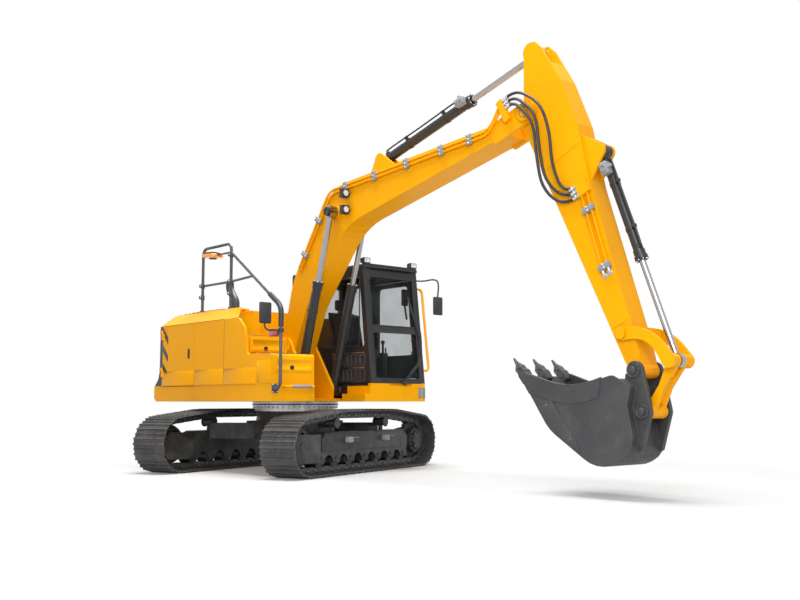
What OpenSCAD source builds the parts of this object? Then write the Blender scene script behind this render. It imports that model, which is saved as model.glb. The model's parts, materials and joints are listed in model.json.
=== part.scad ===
// Crawler excavator of the 14 tonne class with a one-piece boom, long arm and digging bucket.
// Frame: +X is the way the boom points, +Y left, +Z up, origin on the ground under the swing axis.

/* [Undercarriage] */
// Angle from the boom's direction to the tracks' drive end
track_heading = 110; // [60:1:120]
// Distance between the middles of the two tracks
track_gauge = 1990; // [1800:10:2200]
// Width of a track shoe
shoe_width = 500; // [450:10:600]
// Distance between idler and sprocket axles
tumbler_distance = 2920; // [2700:10:3100]
// Height of a track over its end wheels
track_height = 736; // [700:2:780]
// Height of the top run over the carrier rollers
top_run_height = 820; // [800:2:850]
// Number of shoes on one track
shoe_count = 45; // [42:1:46]
// Height of a grouser over its shoe plate
grouser_height = 20; // [14:1:26]
// Thickness of a shoe plate
shoe_plate = 9; // [8:1:12]
// Height of a track link above the pin line
link_rise = 45; // [40:1:50]
// Height of a track link below the pin line
link_drop = 42; // [38:1:46]
// Gap between the two rows of links
link_gap = 80; // [70:2:90]
// Thickness of one row of links
link_thickness = 30; // [24:1:36]
// Radius of a bottom roller
roller_radius = 78; // [70:1:84]
// Number of bottom rollers under one track frame
roller_count = 7; // [6:1:8]
// Distance from the middle of the track to a carrier roller
carrier_offset = 620; // [560:10:680]
// Radius of a carrier roller
carrier_radius = 60; // [54:1:64]
// Width of the track frame box
frame_width = 240; // [220:2:260]
// Top of the track frame box
frame_top = 530; // [500:5:560]
// Thickness of the track frame's side plates
frame_plate = 22; // [16:1:28]

/* [Slew bearing] */
// Outer radius of the slew bearing
slew_radius = 585; // [560:5:620]
// Radial width of the slew bearing
slew_width = 95; // [80:1:110]
// Top of the slew bearing
slew_top = 918; // [900:1:940]
// Height of the slew bearing
slew_height = 130; // [120:1:140]
// Running gap of the slew bearing
slew_gap = 0.5; // [0.3:0.1:0.8]

/* [Upper structure] */
// Half width of the upper structure
upper_half = 1245; // [1200:5:1300]
// Height of the side skirts
skirt_height = 205; // [180:5:230]
// Thickness of plates and doors of the housing
panel = 30; // [24:1:40]
// Thickness of the deck plate
deck_plate = 40; // [30:1:50]
// Front edge of the step box on the right
step_front = 1255; // [1200:5:1300]
// Radius of the tail
tail_radius = 2120; // [2050:5:2200]
// Front face of the counterweight
counterweight_front = -1500; // [-1560:5:-1450]
// Top of the side doors, where the hood's slope begins
fold_height = 1980; // [1940:5:2020]
// Top of the hood
hood_height = 2150; // [2100:5:2200]
// Width of the sloped edge of the hood
hood_slope = 235; // [200:5:260]
// Seam between the rear door and the fixed side panel
door_seam = -600; // [-650:5:-550]
// Front end of the high housing on the right
housing_front = 640; // [600:5:680]
// Height of the front step box
step_low = 1500; // [1460:5:1540]
// Height of the second step
step_high = 1750; // [1720:5:1780]
// Inner side of the step boxes
step_inner = -600; // [-640:5:-590]
// Gap round doors, lids and panels
door_gap = 6; // [5:0.5:8]
// Gap between a closed lid and its seat
seat_gap = 0.3; // [0.3:0.1:0.5]

/* [Cab] */
// Right side of the cab
cab_right = 290; // [280:1:310]
// Front of the cab at the floor
cab_front = 1284; // [1250:2:1310]
// Length of the cab at the floor
cab_length = 1800; // [1750:5:1850]
// Lean of the windscreen from floor to roof
cab_lean = 180; // [150:5:210]
// Underside of the cab
cab_floor = 1160; // [1140:5:1180]
// Top of the cab frame
cab_top = 2700; // [2660:5:2740]
// Depth of a cab pillar
cab_wall = 55; // [48:1:64]
// Thickness of the roof panel
roof_thickness = 60; // [50:1:70]
// Thickness of the panes
glass = 6; // [5:0.5:8]
// Gap between a pane and its frame
glass_gap = 0.4; // [0.3:0.1:0.6]

/* [Boom] */
// Sideways place of the boom
boom_offset = -90; // [-100:1:-80]
// Forward place of the boom foot pin
boom_foot_x = 190; // [150:5:230]
// Height of the boom foot pin
boom_foot_z = 1610; // [1580:5:1640]
// Length from the foot pin to the arm pin
boom_length = 4893; // [4860:1:4930]
// Angle of the boom above level
boom_angle = 28.6; // [20:0.1:36]
// Width of the boom box
boom_width = 340; // [330:2:350]
// Thickness of the boom's plates
boom_wall = 14; // [12:1:18]
// Radius of the boom's pins
boom_pin = 45; // [40:1:50]
// Radius of the boom's foot boss
foot_radius = 150; // [135:5:160]
// Radius of the boom's tip
tip_radius = 122; // [115:1:130]
// Thickness of the boom's tip cheeks
tip_cheek = 40; // [35:1:45]

/* [Arm] */
// Length from the arm pin to the bucket pin
arm_length = 3042; // [3000:1:3080]
// Angle of the arm from level
arm_angle = -64.7; // [-75:0.1:-55]
// Width of the arm box
arm_width = 256; // [250:1:260]
// Thickness of the arm's plates
arm_wall = 12; // [10:1:16]
// Radius of the pins at the bucket end
nose_pin = 40; // [36:1:44]
// Radius of the arm's nose
nose_radius = 74; // [70:1:85]

/* [Bucket] */
// Turn of the bucket about its pin
bucket_turn = 0; // [-20:1:10]
// Width over the cutting edge
bucket_width = 720; // [680:5:760]
// Width at the back
bucket_back_width = 520; // [490:5:560]
// Thickness of the bucket's shell
bucket_wall = 22; // [18:1:28]
// Thickness of the bucket's ears
ear_thickness = 40; // [35:1:45]
// Distance between the outer teeth and the middle one
tooth_pitch = 300; // [280:5:320]
// Length of a tooth beyond the cutting edge
tooth_length = 215; // [190:5:240]

/* [Cylinders] */
// Sideways distance of the boom cylinders from the boom's middle
boom_cylinder_side = 285; // [282:1:290]
// Forward place of the boom cylinders' lower pin
boom_cylinder_x = 600; // [580:5:620]
// Height of the boom cylinders' lower pin
boom_cylinder_z = 1070; // [1060:5:1085]
// Outer radius of the boom cylinder barrels
boom_barrel = 58; // [54:1:60]
// Outer radius of the arm cylinder barrel
arm_barrel_radius = 60; // [56:1:64]
// Outer radius of the bucket cylinder barrel
bucket_barrel_radius = 50; // [46:1:54]
// Radius of the boom and arm cylinder rods
rod_radius = 37; // [34:1:40]
// Radius of the bucket cylinder rod
bucket_rod_radius = 32; // [30:1:34]
// Radial clearance of pins and rods
pin_gap = 0.4; // [0.3:0.1:0.6]
// Side clearance between links
side_gap = 6; // [5:0.5:8]

/* [Hidden] */
$fn = 48;

// Paint and material colours
yellow = "#f7b314";
charcoal = "#3d3f42";
black = "#232427";
steel = "#9a9da1";
chrome = "#d7dadd";
orange = "#e07a10";

// Plane geometry helpers
function unit(v) = v / norm(v);
function turn(p, a) = [p[0] * cos(a) - p[1] * sin(a), p[0] * sin(a) + p[1] * cos(a)];
function placed(o, a, p) = o + turn(p, a);
function heading(v) = atan2(v[1], v[0]);
function flat(p) = [p[0], p[1]];
function wrap(a) = a - 360 * floor((a + 180) / 360);
function corner(a, b, c, r, n) =
  let (u = unit(a - b), v = unit(c - b), half = acos(min(1, max(-1, u * v))) / 2,
    p = b + u * r / tan(half), m = b + unit(u + v) * r / sin(half),
    a0 = heading(p - m), sweep = wrap(heading(b + v * r / tan(half) - m) - a0))
  [for (i = [0:n]) m + r * [cos(a0 + sweep * i / n), sin(a0 + sweep * i / n)]];
// Outline from points [x, y, radius], each corner rounded by its radius
function rounded(pts, n = 5) =
  let (k = len(pts))
  [for (i = [0:k - 1])
    let (p = pts[i], r = len(p) > 2 ? p[2] : 0)
    each r > 0 ? corner(flat(pts[(i + k - 1) % k]), flat(p), flat(pts[(i + 1) % k]), r, n) : [flat(p)]];
// Points moved inwards by t from every edge of a counter-clockwise outline
function inset(pts, t) =
  let (k = len(pts))
  [for (i = [0:k - 1])
    let (b = flat(pts[i]), u = unit(b - flat(pts[(i + k - 1) % k])), v = unit(flat(pts[(i + 1) % k]) - b),
      m = [-u[1], u[0]], w = [-v[1], v[0]], q = unit(m + w), p = b + q * t / (q * m))
    len(pts[i]) > 2 ? [p[0], p[1], pts[i][2]] : p];
// Outline of a strap with round ends about p and q
function arc(p, r, from, sweep, n = 14) =
  [for (i = [0:n]) p + r * [cos(from + sweep * i / n), sin(from + sweep * i / n)]];
function strap_outline(p, rp, q, rq) =
  let (d = q - p, a = heading(d), b = acos((rp - rq) / norm(d)))
  concat(arc(q, rq, a - b, 2 * b), arc(p, rp, a + b, 360 - 2 * b));
module strap(p, rp, q, rq) { polygon(strap_outline(p, rp, q, rq)); }
// A flat outline in X and Z, thickened along Y from y0
module along_y(y0, t) { translate([0, y0 + t, 0]) rotate([90, 0, 0]) linear_extrude(t) children(); }
// A round bar along Y at [x, z]
module bar_y(p, r, y0, t) { along_y(y0, t) translate(p) circle(r); }
// The same piece on both sides of the middle plane
module both_sides() { children(); mirror([0, 1, 0]) children(); }
module on_x(x0, l, r) { translate([x0, 0, 0]) rotate([0, 90, 0]) cylinder(r = r, h = l); }
module block(lo, hi) { translate(lo) cube(hi - lo); }
// A flat outline in Y and Z, thickened along X
module across_x(x0, x1) { translate([x0, 0, 0]) rotate([90, 0, 90]) linear_extrude(x1 - x0) children(); }

// Path and tube helpers
function bend3(a, b, c, r, n) =
  let (u = unit(a - b), v = unit(c - b), half = acos(u * v) / 2, d = r / tan(half),
    m = b + unit(u + v) * r / sin(half), p = b + u * d - m, s = unit(cross(cross(p, b + v * d - m), p)))
  [for (i = [0:n]) let (t = (180 - 2 * half) * i / n) m + p * cos(t) + s * r * sin(t)];
function rounded_path(pts, r, n = 3) =
  let (k = len(pts))
  [for (i = [0:k - 1]) each i == 0 || i == k - 1 ? [pts[i]] : bend3(pts[i - 1], pts[i], pts[i + 1], r, n)];
function direction(path, i) =
  let (k = len(path))
  i == 0 ? unit(path[1] - path[0]) : i == k - 1 ? unit(path[k - 1] - path[k - 2])
    : unit(unit(path[i] - path[i - 1]) + unit(path[i + 1] - path[i]));
function carried(a, d) = unit(a - (a * d) * d);
// Ring directions carried along a path without twist
function frames(path, i = 0, a = undef) =
  let (d = direction(path, i), start = abs(d[2]) < 0.8 ? [0, 0, 1] : [1, 0, 0],
    f = carried(is_undef(a) ? start : a, d))
  i == len(path) - 1 ? [f] : concat([f], frames(path, i + 1, f));
// A round tube swept along a path
module tube(path, r, sides = 8) {
  f = frames(path);
  k = len(path);
  rings = [for (i = [0:k - 1]) let (d = direction(path, i), b = cross(d, f[i]))
    each [for (j = [0:sides - 1]) path[i] + r * (f[i] * cos(360 * j / sides) + b * sin(360 * j / sides))]];
  skins = [for (i = [0:k - 2]) each [for (j = [0:sides - 1])
    let (q = (j + 1) % sides) [i * sides + q, i * sides + j, (i + 1) * sides + j, (i + 1) * sides + q]]];
  polyhedron(rings, concat([[for (j = [0:sides - 1]) j]], skins,
    [[for (j = [sides - 1:-1:0]) (k - 1) * sides + j]]));
}

// Pins in the boom's plane, as [x, z]
foot = [boom_foot_x, boom_foot_z];
arm_pin = placed(foot, boom_angle, [boom_length, 0]);
boom_eye_local = [boom_length * 0.36276, 1001];
boom_eye = placed(foot, boom_angle, boom_eye_local);
arm_base_local = [boom_length * 0.55079, 1157];
arm_base = placed(foot, boom_angle, arm_base_local);
arm_eye_local = [-580, 318];
arm_eye = placed(arm_pin, arm_angle, arm_eye_local);
bucket_base_local = [885, 550];
bucket_base = placed(arm_pin, arm_angle, bucket_base_local);
rocker_local = [arm_length - 385, 16];
rocker_pin = placed(arm_pin, arm_angle, rocker_local);
bucket_pin = placed(arm_pin, arm_angle, [arm_length, 0]);
link_local = [arm_length + 76, 359];
link_pin = placed(arm_pin, arm_angle, link_local);
ear_local = [88, -381];
ear_pin = placed(bucket_pin, bucket_turn, ear_local);
boom_cylinder_base = [boom_cylinder_x, boom_cylinder_z];

module at_tracks() { rotate([0, 0, track_heading]) children(); }
module at_plane(p, a) { translate([p[0], boom_offset, p[1]]) rotate([0, -a, 0]) children(); }
module at_boom() { at_plane(foot, boom_angle) children(); }
module at_arm() { at_plane(arm_pin, arm_angle) children(); }
module at_bucket() { at_plane(bucket_pin, bucket_turn) children(); }
module at_line(p, q) { at_plane(p, heading(q - p)) children(); }

// Track loop: the pin line runs round circles about the end wheels and carrier rollers
tip_rise = link_rise + shoe_plate + grouser_height;
end_radius = track_height / 2 - tip_rise;
axle_z = track_height / 2;
axle_u = tumbler_distance / 2;
carrier_loop = carrier_radius + link_drop;
carrier_z = top_run_height - tip_rise - carrier_loop;
loop = [[[axle_u, axle_z], end_radius], [[carrier_offset, carrier_z], carrier_loop],
  [[-carrier_offset, carrier_z], carrier_loop], [[-axle_u, axle_z], end_radius]];
function leave(i) =
  let (a = loop[i % 4], b = loop[(i + 1) % 4], d = b[0] - a[0])
  heading(d) - acos((a[1] - b[1]) / norm(d));
function arc_of(i) = let (s = leave(i) - leave(i + 3)) s - 360 * floor(s / 360);
function arc_length(i) = loop[i][1] * arc_of(i) * PI / 180;
function tangent_point(i, a) = loop[i % 4][0] + loop[i % 4][1] * [cos(a), sin(a)];
function run_length(i) = norm(tangent_point(i + 1, leave(i)) - tangent_point(i, leave(i)));
leg = [for (i = [0:3]) arc_length(i) + run_length(i)];
loop_length = leg[0] + leg[1] + leg[2] + leg[3];
pitch = loop_length / shoe_count;
// Point on the pin line at distance s along it
function on_leg(i, s) =
  s <= arc_length(i)
    ? tangent_point(i, leave(i + 3) + s / loop[i][1] * 180 / PI)
    : tangent_point(i, leave(i)) + unit(tangent_point(i + 1, leave(i)) - tangent_point(i, leave(i)))
      * (s - arc_length(i));
function pin_point(s, i = 0) = i < 3 && s > leg[i] ? pin_point(s - leg[i], i + 1) : on_leg(i, s);
pins = [for (i = [0:shoe_count - 1]) pin_point(i * pitch)];
function outward(a, b) = let (d = unit(b - a)) [d[1], -d[0]];
// A point of shoe i at share f of its pitch and height h over the pin line
function shoe_point(i, f, h) =
  let (a = pins[i], b = pins[(i + 1) % shoe_count]) a + (b - a) * f + outward(a, b) * h;
// The line at height h, one corner at each pin
function chain_point(i, h) =
  let (a = pins[(i + shoe_count - 1) % shoe_count], b = pins[i], c = pins[(i + 1) % shoe_count],
    m = outward(a, b), w = outward(b, c), q = unit(m + w))
  b + q * h / (q * m);
shoe_top = link_rise + shoe_plate;
// One shoe's outline from its leading to its trailing edge, as [share of pitch, height]
shoe_outline = [[0.03, shoe_top], [0.08, tip_rise], [0.14, tip_rise], [0.2, shoe_top],
  [0.42, shoe_top], [0.5, tip_rise], [0.58, shoe_top],
  [0.8, shoe_top], [0.86, tip_rise], [0.92, tip_rise], [0.97, shoe_top]];
shoe_line = [for (i = [0:shoe_count - 1]) each [for (p = shoe_outline) shoe_point(i, p[0], p[1])]];
plate_line = [for (i = [0:shoe_count - 1]) chain_point(i, link_rise)];
rail_line = [for (i = [0:shoe_count - 1]) chain_point(i, -link_drop)];
// Largest radius that rolls inside the rails round an end wheel
half_step = asin(pitch / 2 / end_radius);
rail_inside = end_radius * cos(half_step) - link_drop;
wheel_gap = 0.4;
// Room under a straight link where the chain bends over a carrier roller
chord_sag = 6;
rail_top = tip_rise + link_drop;
roller_z = rail_top + roller_radius + wheel_gap;

module track() {
  color(charcoal) {
    along_y(-shoe_width / 2, shoe_width) difference() {
      polygon(shoe_line);
      polygon(plate_line);
    }
    for (y = [-link_gap / 2 - link_thickness, link_gap / 2])
      along_y(y, link_thickness) difference() {
        polygon(plate_line);
        polygon(rail_line);
      }
  }
}
module track_left() { at_tracks() translate([0, -track_gauge / 2, 0]) track(); }
module track_right() { at_tracks() translate([0, track_gauge / 2, 0]) track(); }

// Track frame: a box with side plates that carry the rollers, an idler yoke and a drive flange
frame_end = axle_u - rail_inside - 45;
frame_bottom = roller_z + roller_radius + 30;
plate_bottom = roller_z - 45;
frame_outline = [[-frame_end, frame_bottom, 20], [frame_end, frame_bottom, 20], [frame_end, frame_top - 90],
  [frame_end - 130, frame_top], [-frame_end + 220, frame_top], [-frame_end, frame_top - 130]];
roller_span = 2 * frame_end - 260;
roller_step = roller_span / (roller_count - 1);
function roller_u(i) = -roller_span / 2 + i * roller_step;
plate_outline = [[-frame_end + 20, plate_bottom, 40], [frame_end - 20, plate_bottom, 40],
  [frame_end - 20, frame_bottom + 40], [-frame_end + 20, frame_bottom + 40]];
yoke_tip = -axle_u;
yoke_half = 70;
drive_flange = 185;
module track_frame(out) {
  side = frame_width / 2;
  color(charcoal) {
    along_y(-side + frame_plate, frame_width - 2 * frame_plate) polygon(rounded(frame_outline));
    for (y = [-side, side - frame_plate])
      along_y(y, frame_plate) {
        difference() {
          union() {
            polygon(rounded(frame_outline));
            polygon(rounded(plate_outline));
          }
          for (i = [0:roller_count - 2])
            translate([roller_u(i) + roller_step / 2, plate_bottom]) circle(roller_step * 0.3);
        }
        polygon([[yoke_tip, axle_z - yoke_half], [-frame_end + 60, axle_z - yoke_half - 15],
          [-frame_end + 60, axle_z + yoke_half + 15], [yoke_tip, axle_z + yoke_half]]);
        translate([yoke_tip, axle_z]) circle(yoke_half);
      }
    // drive flange on the inner side, facing the machine's middle
    along_y(out > 0 ? -side : side - frame_plate, frame_plate) {
      strap([axle_u, axle_z], drive_flange, [frame_end - 60, axle_z + 20], 130);
    }
    // step lugs and guide guard on the outer side
    for (u = [-520, 420])
      translate([u, out > 0 ? side : -side - 90, frame_top - 120])
        cube([230, 90, 45]);
  }
}
module track_frame_left() { at_tracks() translate([0, -track_gauge / 2, 0]) track_frame(-1); }
module track_frame_right() { at_tracks() translate([0, track_gauge / 2, 0]) track_frame(1); }

roller_axle = 28;
tread = link_gap / 2 + link_thickness;
flange_step = 14;
module roller(r, half) {
  bar_y([0, 0], r, -tread - 4, 2 * tread + 8);
  for (s = [-1, 1])
    bar_y([0, 0], r + flange_step, s > 0 ? tread + 4 : -tread - 16, 12);
  bar_y([0, 0], roller_axle, -half, 2 * half);
}
module rollers() {
  inner_half = frame_width / 2 - frame_plate;
  color(steel) at_tracks()
    for (side = [-1, 1])
      translate([0, side * track_gauge / 2, 0]) {
        for (i = [0:roller_count - 1])
          translate([roller_u(i), 0, roller_z]) roller(roller_radius, inner_half);
        for (s = [-1, 1])
          translate([s * carrier_offset, 0, carrier_z]) {
            roller(carrier_radius - chord_sag, tread + 16);
            block([-30, -18, frame_top - carrier_z], [30, 18, 0]);
          }
      }
}
idler_rim = rail_inside - wheel_gap;
idler_hub = 80;
module idlers() {
  half = frame_width / 2 - frame_plate;
  color(charcoal) at_tracks()
    for (side = [-1, 1])
      translate([-axle_u, side * track_gauge / 2, axle_z]) difference() {
        union() {
          bar_y([0, 0], idler_rim, -tread, 2 * tread);
          bar_y([0, 0], idler_rim + 16, -link_gap / 2 + 6, link_gap - 12);
          bar_y([0, 0], idler_hub, -half, 2 * half);
        }
        for (s = [-1, 1], i = [0:5])
          rotate([0, 60 * i, 0]) bar_y([idler_rim * 0.62, 0], 48, s > 0 ? 22 : -tread - 1, tread - 21);
      }
}
sprocket_teeth = 21;
sprocket_half = link_gap / 2 - 10;
sprocket_root = end_radius - 36;
sprocket_tip = end_radius - 12;
hub_radius = 175;
function tooth_line(n, root, tip) = [for (i = [0:n - 1], k = [0:3])
  (k == 1 || k == 2 ? tip : root) * [cos((i + [0.08, 0.34, 0.52, 0.78][k]) * 360 / n),
    sin((i + [0.08, 0.34, 0.52, 0.78][k]) * 360 / n)]];
module final_drives() {
  side = frame_width / 2;
  color(charcoal) at_tracks()
    for (s = [-1, 1])
      translate([axle_u, s * track_gauge / 2, axle_z]) mirror([0, s > 0 ? 0 : 1, 0]) {
        along_y(-sprocket_half, 2 * sprocket_half) polygon(tooth_line(sprocket_teeth, sprocket_root,
          sprocket_tip));
        bar_y([0, 0], hub_radius, sprocket_half, 70);
        bar_y([0, 0], hub_radius - 45, sprocket_half + 70, 34);
        bar_y([0, 0], hub_radius - 15, -side + frame_plate, side - frame_plate - sprocket_half);
        bar_y([0, 0], 120, -side - 110, 110);
      }
}

// Car body: a ring tower on an X-shaped box that meets the track frames
body_bottom = 420;
body_top = 660;
body_half = 520;
leg_reach = track_gauge / 2 - frame_width / 2;
leg_near = 330;
leg_far = 760;
tower_radius = slew_radius - 60;
module leg() {
  linear_extrude(body_top - body_bottom - 30)
    polygon([[leg_near - 90, body_half - 200], [leg_near + 140, body_half - 320],
      [leg_far, leg_reach], [leg_far - 330, leg_reach]]);
}
module car_body() {
  color(charcoal) at_tracks() {
    translate([0, 0, body_bottom]) {
      linear_extrude(body_top - body_bottom)
        polygon(rounded([[-body_half, -body_half, 160], [body_half, -body_half, 160],
          [body_half, body_half, 160], [-body_half, body_half, 160]]));
      for (a = [0, 1], b = [0, 1])
        mirror([a, 0, 0]) mirror([0, b, 0]) leg();
    }
    difference() {
      translate([0, 0, body_top]) cylinder(r = tower_radius,
        h = slew_top - slew_height - seat_gap - body_top);
      translate([0, 0, body_top]) cylinder(r = tower_radius - 60, h = slew_top);
    }
  }
}
slew_step = 28;
module slew_ring() {
  color(steel) translate([0, 0, slew_top - slew_height])
    difference() {
      union() {
        cylinder(r = slew_radius - slew_step, h = slew_height);
        translate([0, 0, slew_height / 2]) cylinder(r = slew_radius, h = slew_height / 2);
      }
      translate([0, 0, -1]) cylinder(r = slew_radius - slew_width, h = slew_height + 2);
    }
}

// Upper structure
deck_bottom = slew_top + slew_gap;
deck_top = deck_bottom + deck_plate;
skirt_top = deck_bottom + skirt_height;
right_side = -upper_half;
bracket_in = boom_width / 2 + side_gap;
bracket_plate = 40;
bracket_out = bracket_in + bracket_plate;
cylinder_eye_half = 55;
eye_in = boom_cylinder_side - cylinder_eye_half;
eye_out = boom_cylinder_side + cylinder_eye_half;
pin_cap = 18;
base_right = 190;
base_corner = 800;
base_inner = 278;
base_low = 100;
notch = [630, 1000];
module deck() {
  color(yellow) {
    // deck plate, open in front of the boom foot
    translate([0, 0, deck_bottom]) linear_extrude(deck_plate)
      polygon([[counterweight_front, right_side + panel], [step_front - panel, right_side + panel],
        [step_front - panel, step_inner], [720, boom_offset - bracket_out - 140],
        [720, cab_right - 15], [base_corner, cab_right - 15], [base_corner, base_inner + panel],
        [cab_front - panel, base_inner + panel],
        [cab_front - panel, upper_half - panel], [counterweight_front, upper_half - panel]]);
    // outer skirts
    translate([0, 0, deck_bottom]) linear_extrude(skirt_height) {
      polygon([[counterweight_front, right_side], [step_front, right_side], [step_front, step_inner],
        [step_front - panel, step_inner], [step_front - panel, right_side + panel],
        [counterweight_front, right_side + panel]]);
      polygon([[counterweight_front, upper_half], [counterweight_front, upper_half - panel],
        [cab_front - panel, upper_half - panel], [cab_front - panel, base_inner + panel],
        [base_corner, base_inner + panel], [base_corner, base_inner], [cab_front, base_inner],
        [cab_front, upper_half]]);
    }
    // cab base, low where the boom cylinder comes down
    translate([0, 0, deck_bottom]) linear_extrude(base_low)
      polygon([[base_corner, base_right], [cab_front, base_right], [cab_front, base_inner],
        [base_corner, base_inner]]);
    difference() {
      block([cab_front - panel, base_inner, skirt_top], [cab_front, upper_half, cab_floor - 4]);
      block([cab_front - panel - 1, notch[0], skirt_top], [cab_front + 1, notch[1], cab_floor]);
    }
    block([-500, cab_right + 20, deck_top], [-440, upper_half - panel, cab_floor]);
    block([cab_front - 90, cab_right + 20, deck_top], [cab_front - panel, upper_half - panel, cab_floor]);
    // boom brackets with the foot pin and the lower cylinder pins
    translate([0, boom_offset, 0]) {
      both_sides() {
        along_y(bracket_in, bracket_plate) {
          difference() {
            polygon(rounded([[-470, deck_top], [700, deck_top], [715, boom_cylinder_z + 40, 60],
              [foot[0] + 165, foot[1], 120], [foot[0] + 70, foot[1] + 165, 120],
              [foot[0] - 110, foot[1] + 150, 120], [foot[0] - 230, foot[1] - 60, 150],
              [-360, 1250, 150]]));
            translate([-60, 1230]) circle(120);
          }
        }
        bar_y(boom_cylinder_base, boom_pin - 5, bracket_out, eye_out + side_gap - bracket_out);
        bar_y(boom_cylinder_base, boom_pin + 15, eye_out + side_gap, pin_cap);
        bar_y(boom_cylinder_base, boom_pin + 25, bracket_out, eye_in - side_gap - bracket_out);
        bar_y(foot, boom_pin + 20, bracket_out, pin_cap);
      }
      bar_y(foot, boom_pin, -bracket_in, 2 * bracket_in);
    }
    // inner race of the slew bearing
    translate([0, 0, slew_top - slew_height + 8]) difference() {
      cylinder(r = slew_radius - slew_width - side_gap, h = deck_bottom - slew_top + slew_height - 8);
      translate([0, 0, -1]) cylinder(r = slew_radius - slew_width - 90, h = slew_height + 2);
    }
  }
}

// Counterweight: a hollow casting with a round tail, set in above a flared foot
weight_wall = 190;
weight_top = hood_height - 10;
tail_set_in = 115;
tail_upper = tail_radius - tail_set_in;
weight_half = upper_half - 12;
tail_line = [[0, deck_bottom], [tail_radius - 50, deck_bottom], [tail_radius, deck_bottom + 50],
  [tail_radius, skirt_top], [tail_upper + 30, skirt_top + 110], [tail_upper, skirt_top + 220],
  [tail_upper, fold_height], [tail_upper - 130, weight_top], [0, weight_top]];
weight_side = [[upper_half, deck_bottom - 60], [upper_half, skirt_top], [weight_half, skirt_top + 12],
  [weight_half, fold_height], [weight_half - 1.5 * (hood_slope - 12),
    fold_height + 1.5 * (weight_top - fold_height)]];
weight_section = concat(weight_side, [for (i = [4:-1:0]) [-weight_side[i][0], weight_side[i][1]]]);
lift_hole = 21;
lift_side = 450;
lift_depth = 140;
lift_x = -tail_upper + 260;
module counterweight() {
  color(yellow) difference() {
    intersection() {
      rotate_extrude($fn = 128) polygon(tail_line);
      across_x(-tail_radius - 10, counterweight_front) polygon(weight_section);
    }
    intersection() {
      translate([0, 0, deck_bottom + 260])
        cylinder(r = tail_upper - weight_wall, h = weight_top - deck_bottom - 260 - weight_wall, $fn = 128);
      block([-tail_radius, weight_wall - upper_half, 0],
        [counterweight_front + 1, upper_half - weight_wall, weight_top]);
    }
    // lifting holes
    for (y = [-lift_side, lift_side])
      translate([lift_x, y, weight_top - lift_depth]) cylinder(r = lift_hole, h = lift_depth + 1);
  }
  color(yellow) both_sides() fixed_knuckles();
}

// Engine, closed in under the hood
module engine_block() {
  color(steel) block([-1380, -420, deck_top], [-620, 420, 1700]);
}

// Fixed panels of the housing
panel_bottom = skirt_top;
bulkhead = cab_front - cab_length - 20;
riser_front = 20;
riser_top = hood_height - 110;
shoulder_front = housing_front - 150;
tower_front = -170;
tower_bottom = 1600;
module side_panels() {
  color(yellow) {
    // right side, with a rounded shoulder in front
    along_y(right_side, panel) polygon(rounded([[door_seam + door_gap / 2, panel_bottom],
      [step_front, panel_bottom], [step_front, step_low, 30], [housing_front + 60, step_low, 60],
      [housing_front + 25, step_high], [housing_front, fold_height - 130, 90],
      [shoulder_front, fold_height, 130], [door_seam + door_gap / 2, fold_height]]));
    // left side behind the cab
    along_y(upper_half - panel, panel)
      polygon([[door_seam + door_gap / 2, panel_bottom], [bulkhead, panel_bottom],
        [bulkhead, fold_height], [door_seam + door_gap / 2, fold_height]]);
    // bulkhead across the engine room
    block([bulkhead - panel, step_inner, deck_top], [bulkhead, upper_half - panel, fold_height - seat_gap]);
    block([bulkhead - panel, step_inner - panel, deck_top],
      [riser_front - panel - seat_gap, step_inner, fold_height - seat_gap]);
    block([bulkhead + seat_gap, step_inner - panel, fold_height - 1], [riser_front, step_inner, riser_top]);
    // riser above the second step
    block([riser_front - panel - 1, box_side, step_high],
      [riser_front, step_inner, fold_height - seat_gap]);
    block([riser_front - panel, crest + seat_gap, fold_height - 1], [riser_front, step_inner, riser_top]);
    // raised box behind the boom foot
    block([bulkhead - 1, step_inner - 1, tower_bottom],
      [tower_front, cab_right - 20, fold_height - seat_gap]);
    block([bulkhead + seat_gap, step_inner, fold_height - 1], [tower_front, cab_right - 20, hood_height]);
  }
}
door_rear = counterweight_front + door_gap;
knuckle = 12;
knuckle_length = 90;
knuckle_x = door_rear + 10;
knuckle_y = right_side - knuckle - 1;
knuckle_places = [1260, 1780];
module side_door() {
  along_y(right_side, panel) polygon(rounded([[door_rear, panel_bottom + door_gap, 12],
    [door_seam - door_gap / 2, panel_bottom + door_gap, 12],
    [door_seam - door_gap / 2, fold_height - door_gap, 12], [door_rear, fold_height - door_gap, 12]]));
  // latch cup
  bar_y([door_seam - 190, 1575], 26, right_side - 4, 4);
  for (z = knuckle_places)
    translate([knuckle_x, knuckle_y, z]) {
      cylinder(r = knuckle, h = knuckle_length);
      block([0, -knuckle / 2, 0], [40, right_side - knuckle_y, knuckle_length]);
    }
}
// Fixed halves of the side doors' hinges
module fixed_knuckles() {
  for (z = knuckle_places)
    translate([knuckle_x, knuckle_y, z + knuckle_length + seat_gap]) {
      cylinder(r = knuckle, h = knuckle_length / 2);
      block([-60, -knuckle / 2, 0], [0, right_side - knuckle_y - seat_gap, knuckle_length / 2]);
      block([-60, -knuckle / 2, 0], [-22, right_side - knuckle_y + 20, knuckle_length / 2]);
    }
}
module door_right() { color(yellow) side_door(); }
module door_left() { color(yellow) mirror([0, 1, 0]) side_door(); }

// Hood: a sloped cover round a lid
cover_wall = 22;
lid_rear = counterweight_front + 60;
lid_front = -590;
lid_half = 820;
function cover_line(d) = [[-upper_half + d, fold_height],
  [-upper_half + hood_slope + d * 0.5, hood_height - d],
  [upper_half - hood_slope - d * 0.5, hood_height - d], [upper_half - d, fold_height]];
lid_edge = 30;
lid_height = 46;
grille_bar = 26;
crest = -upper_half + hood_slope + 60;
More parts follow.
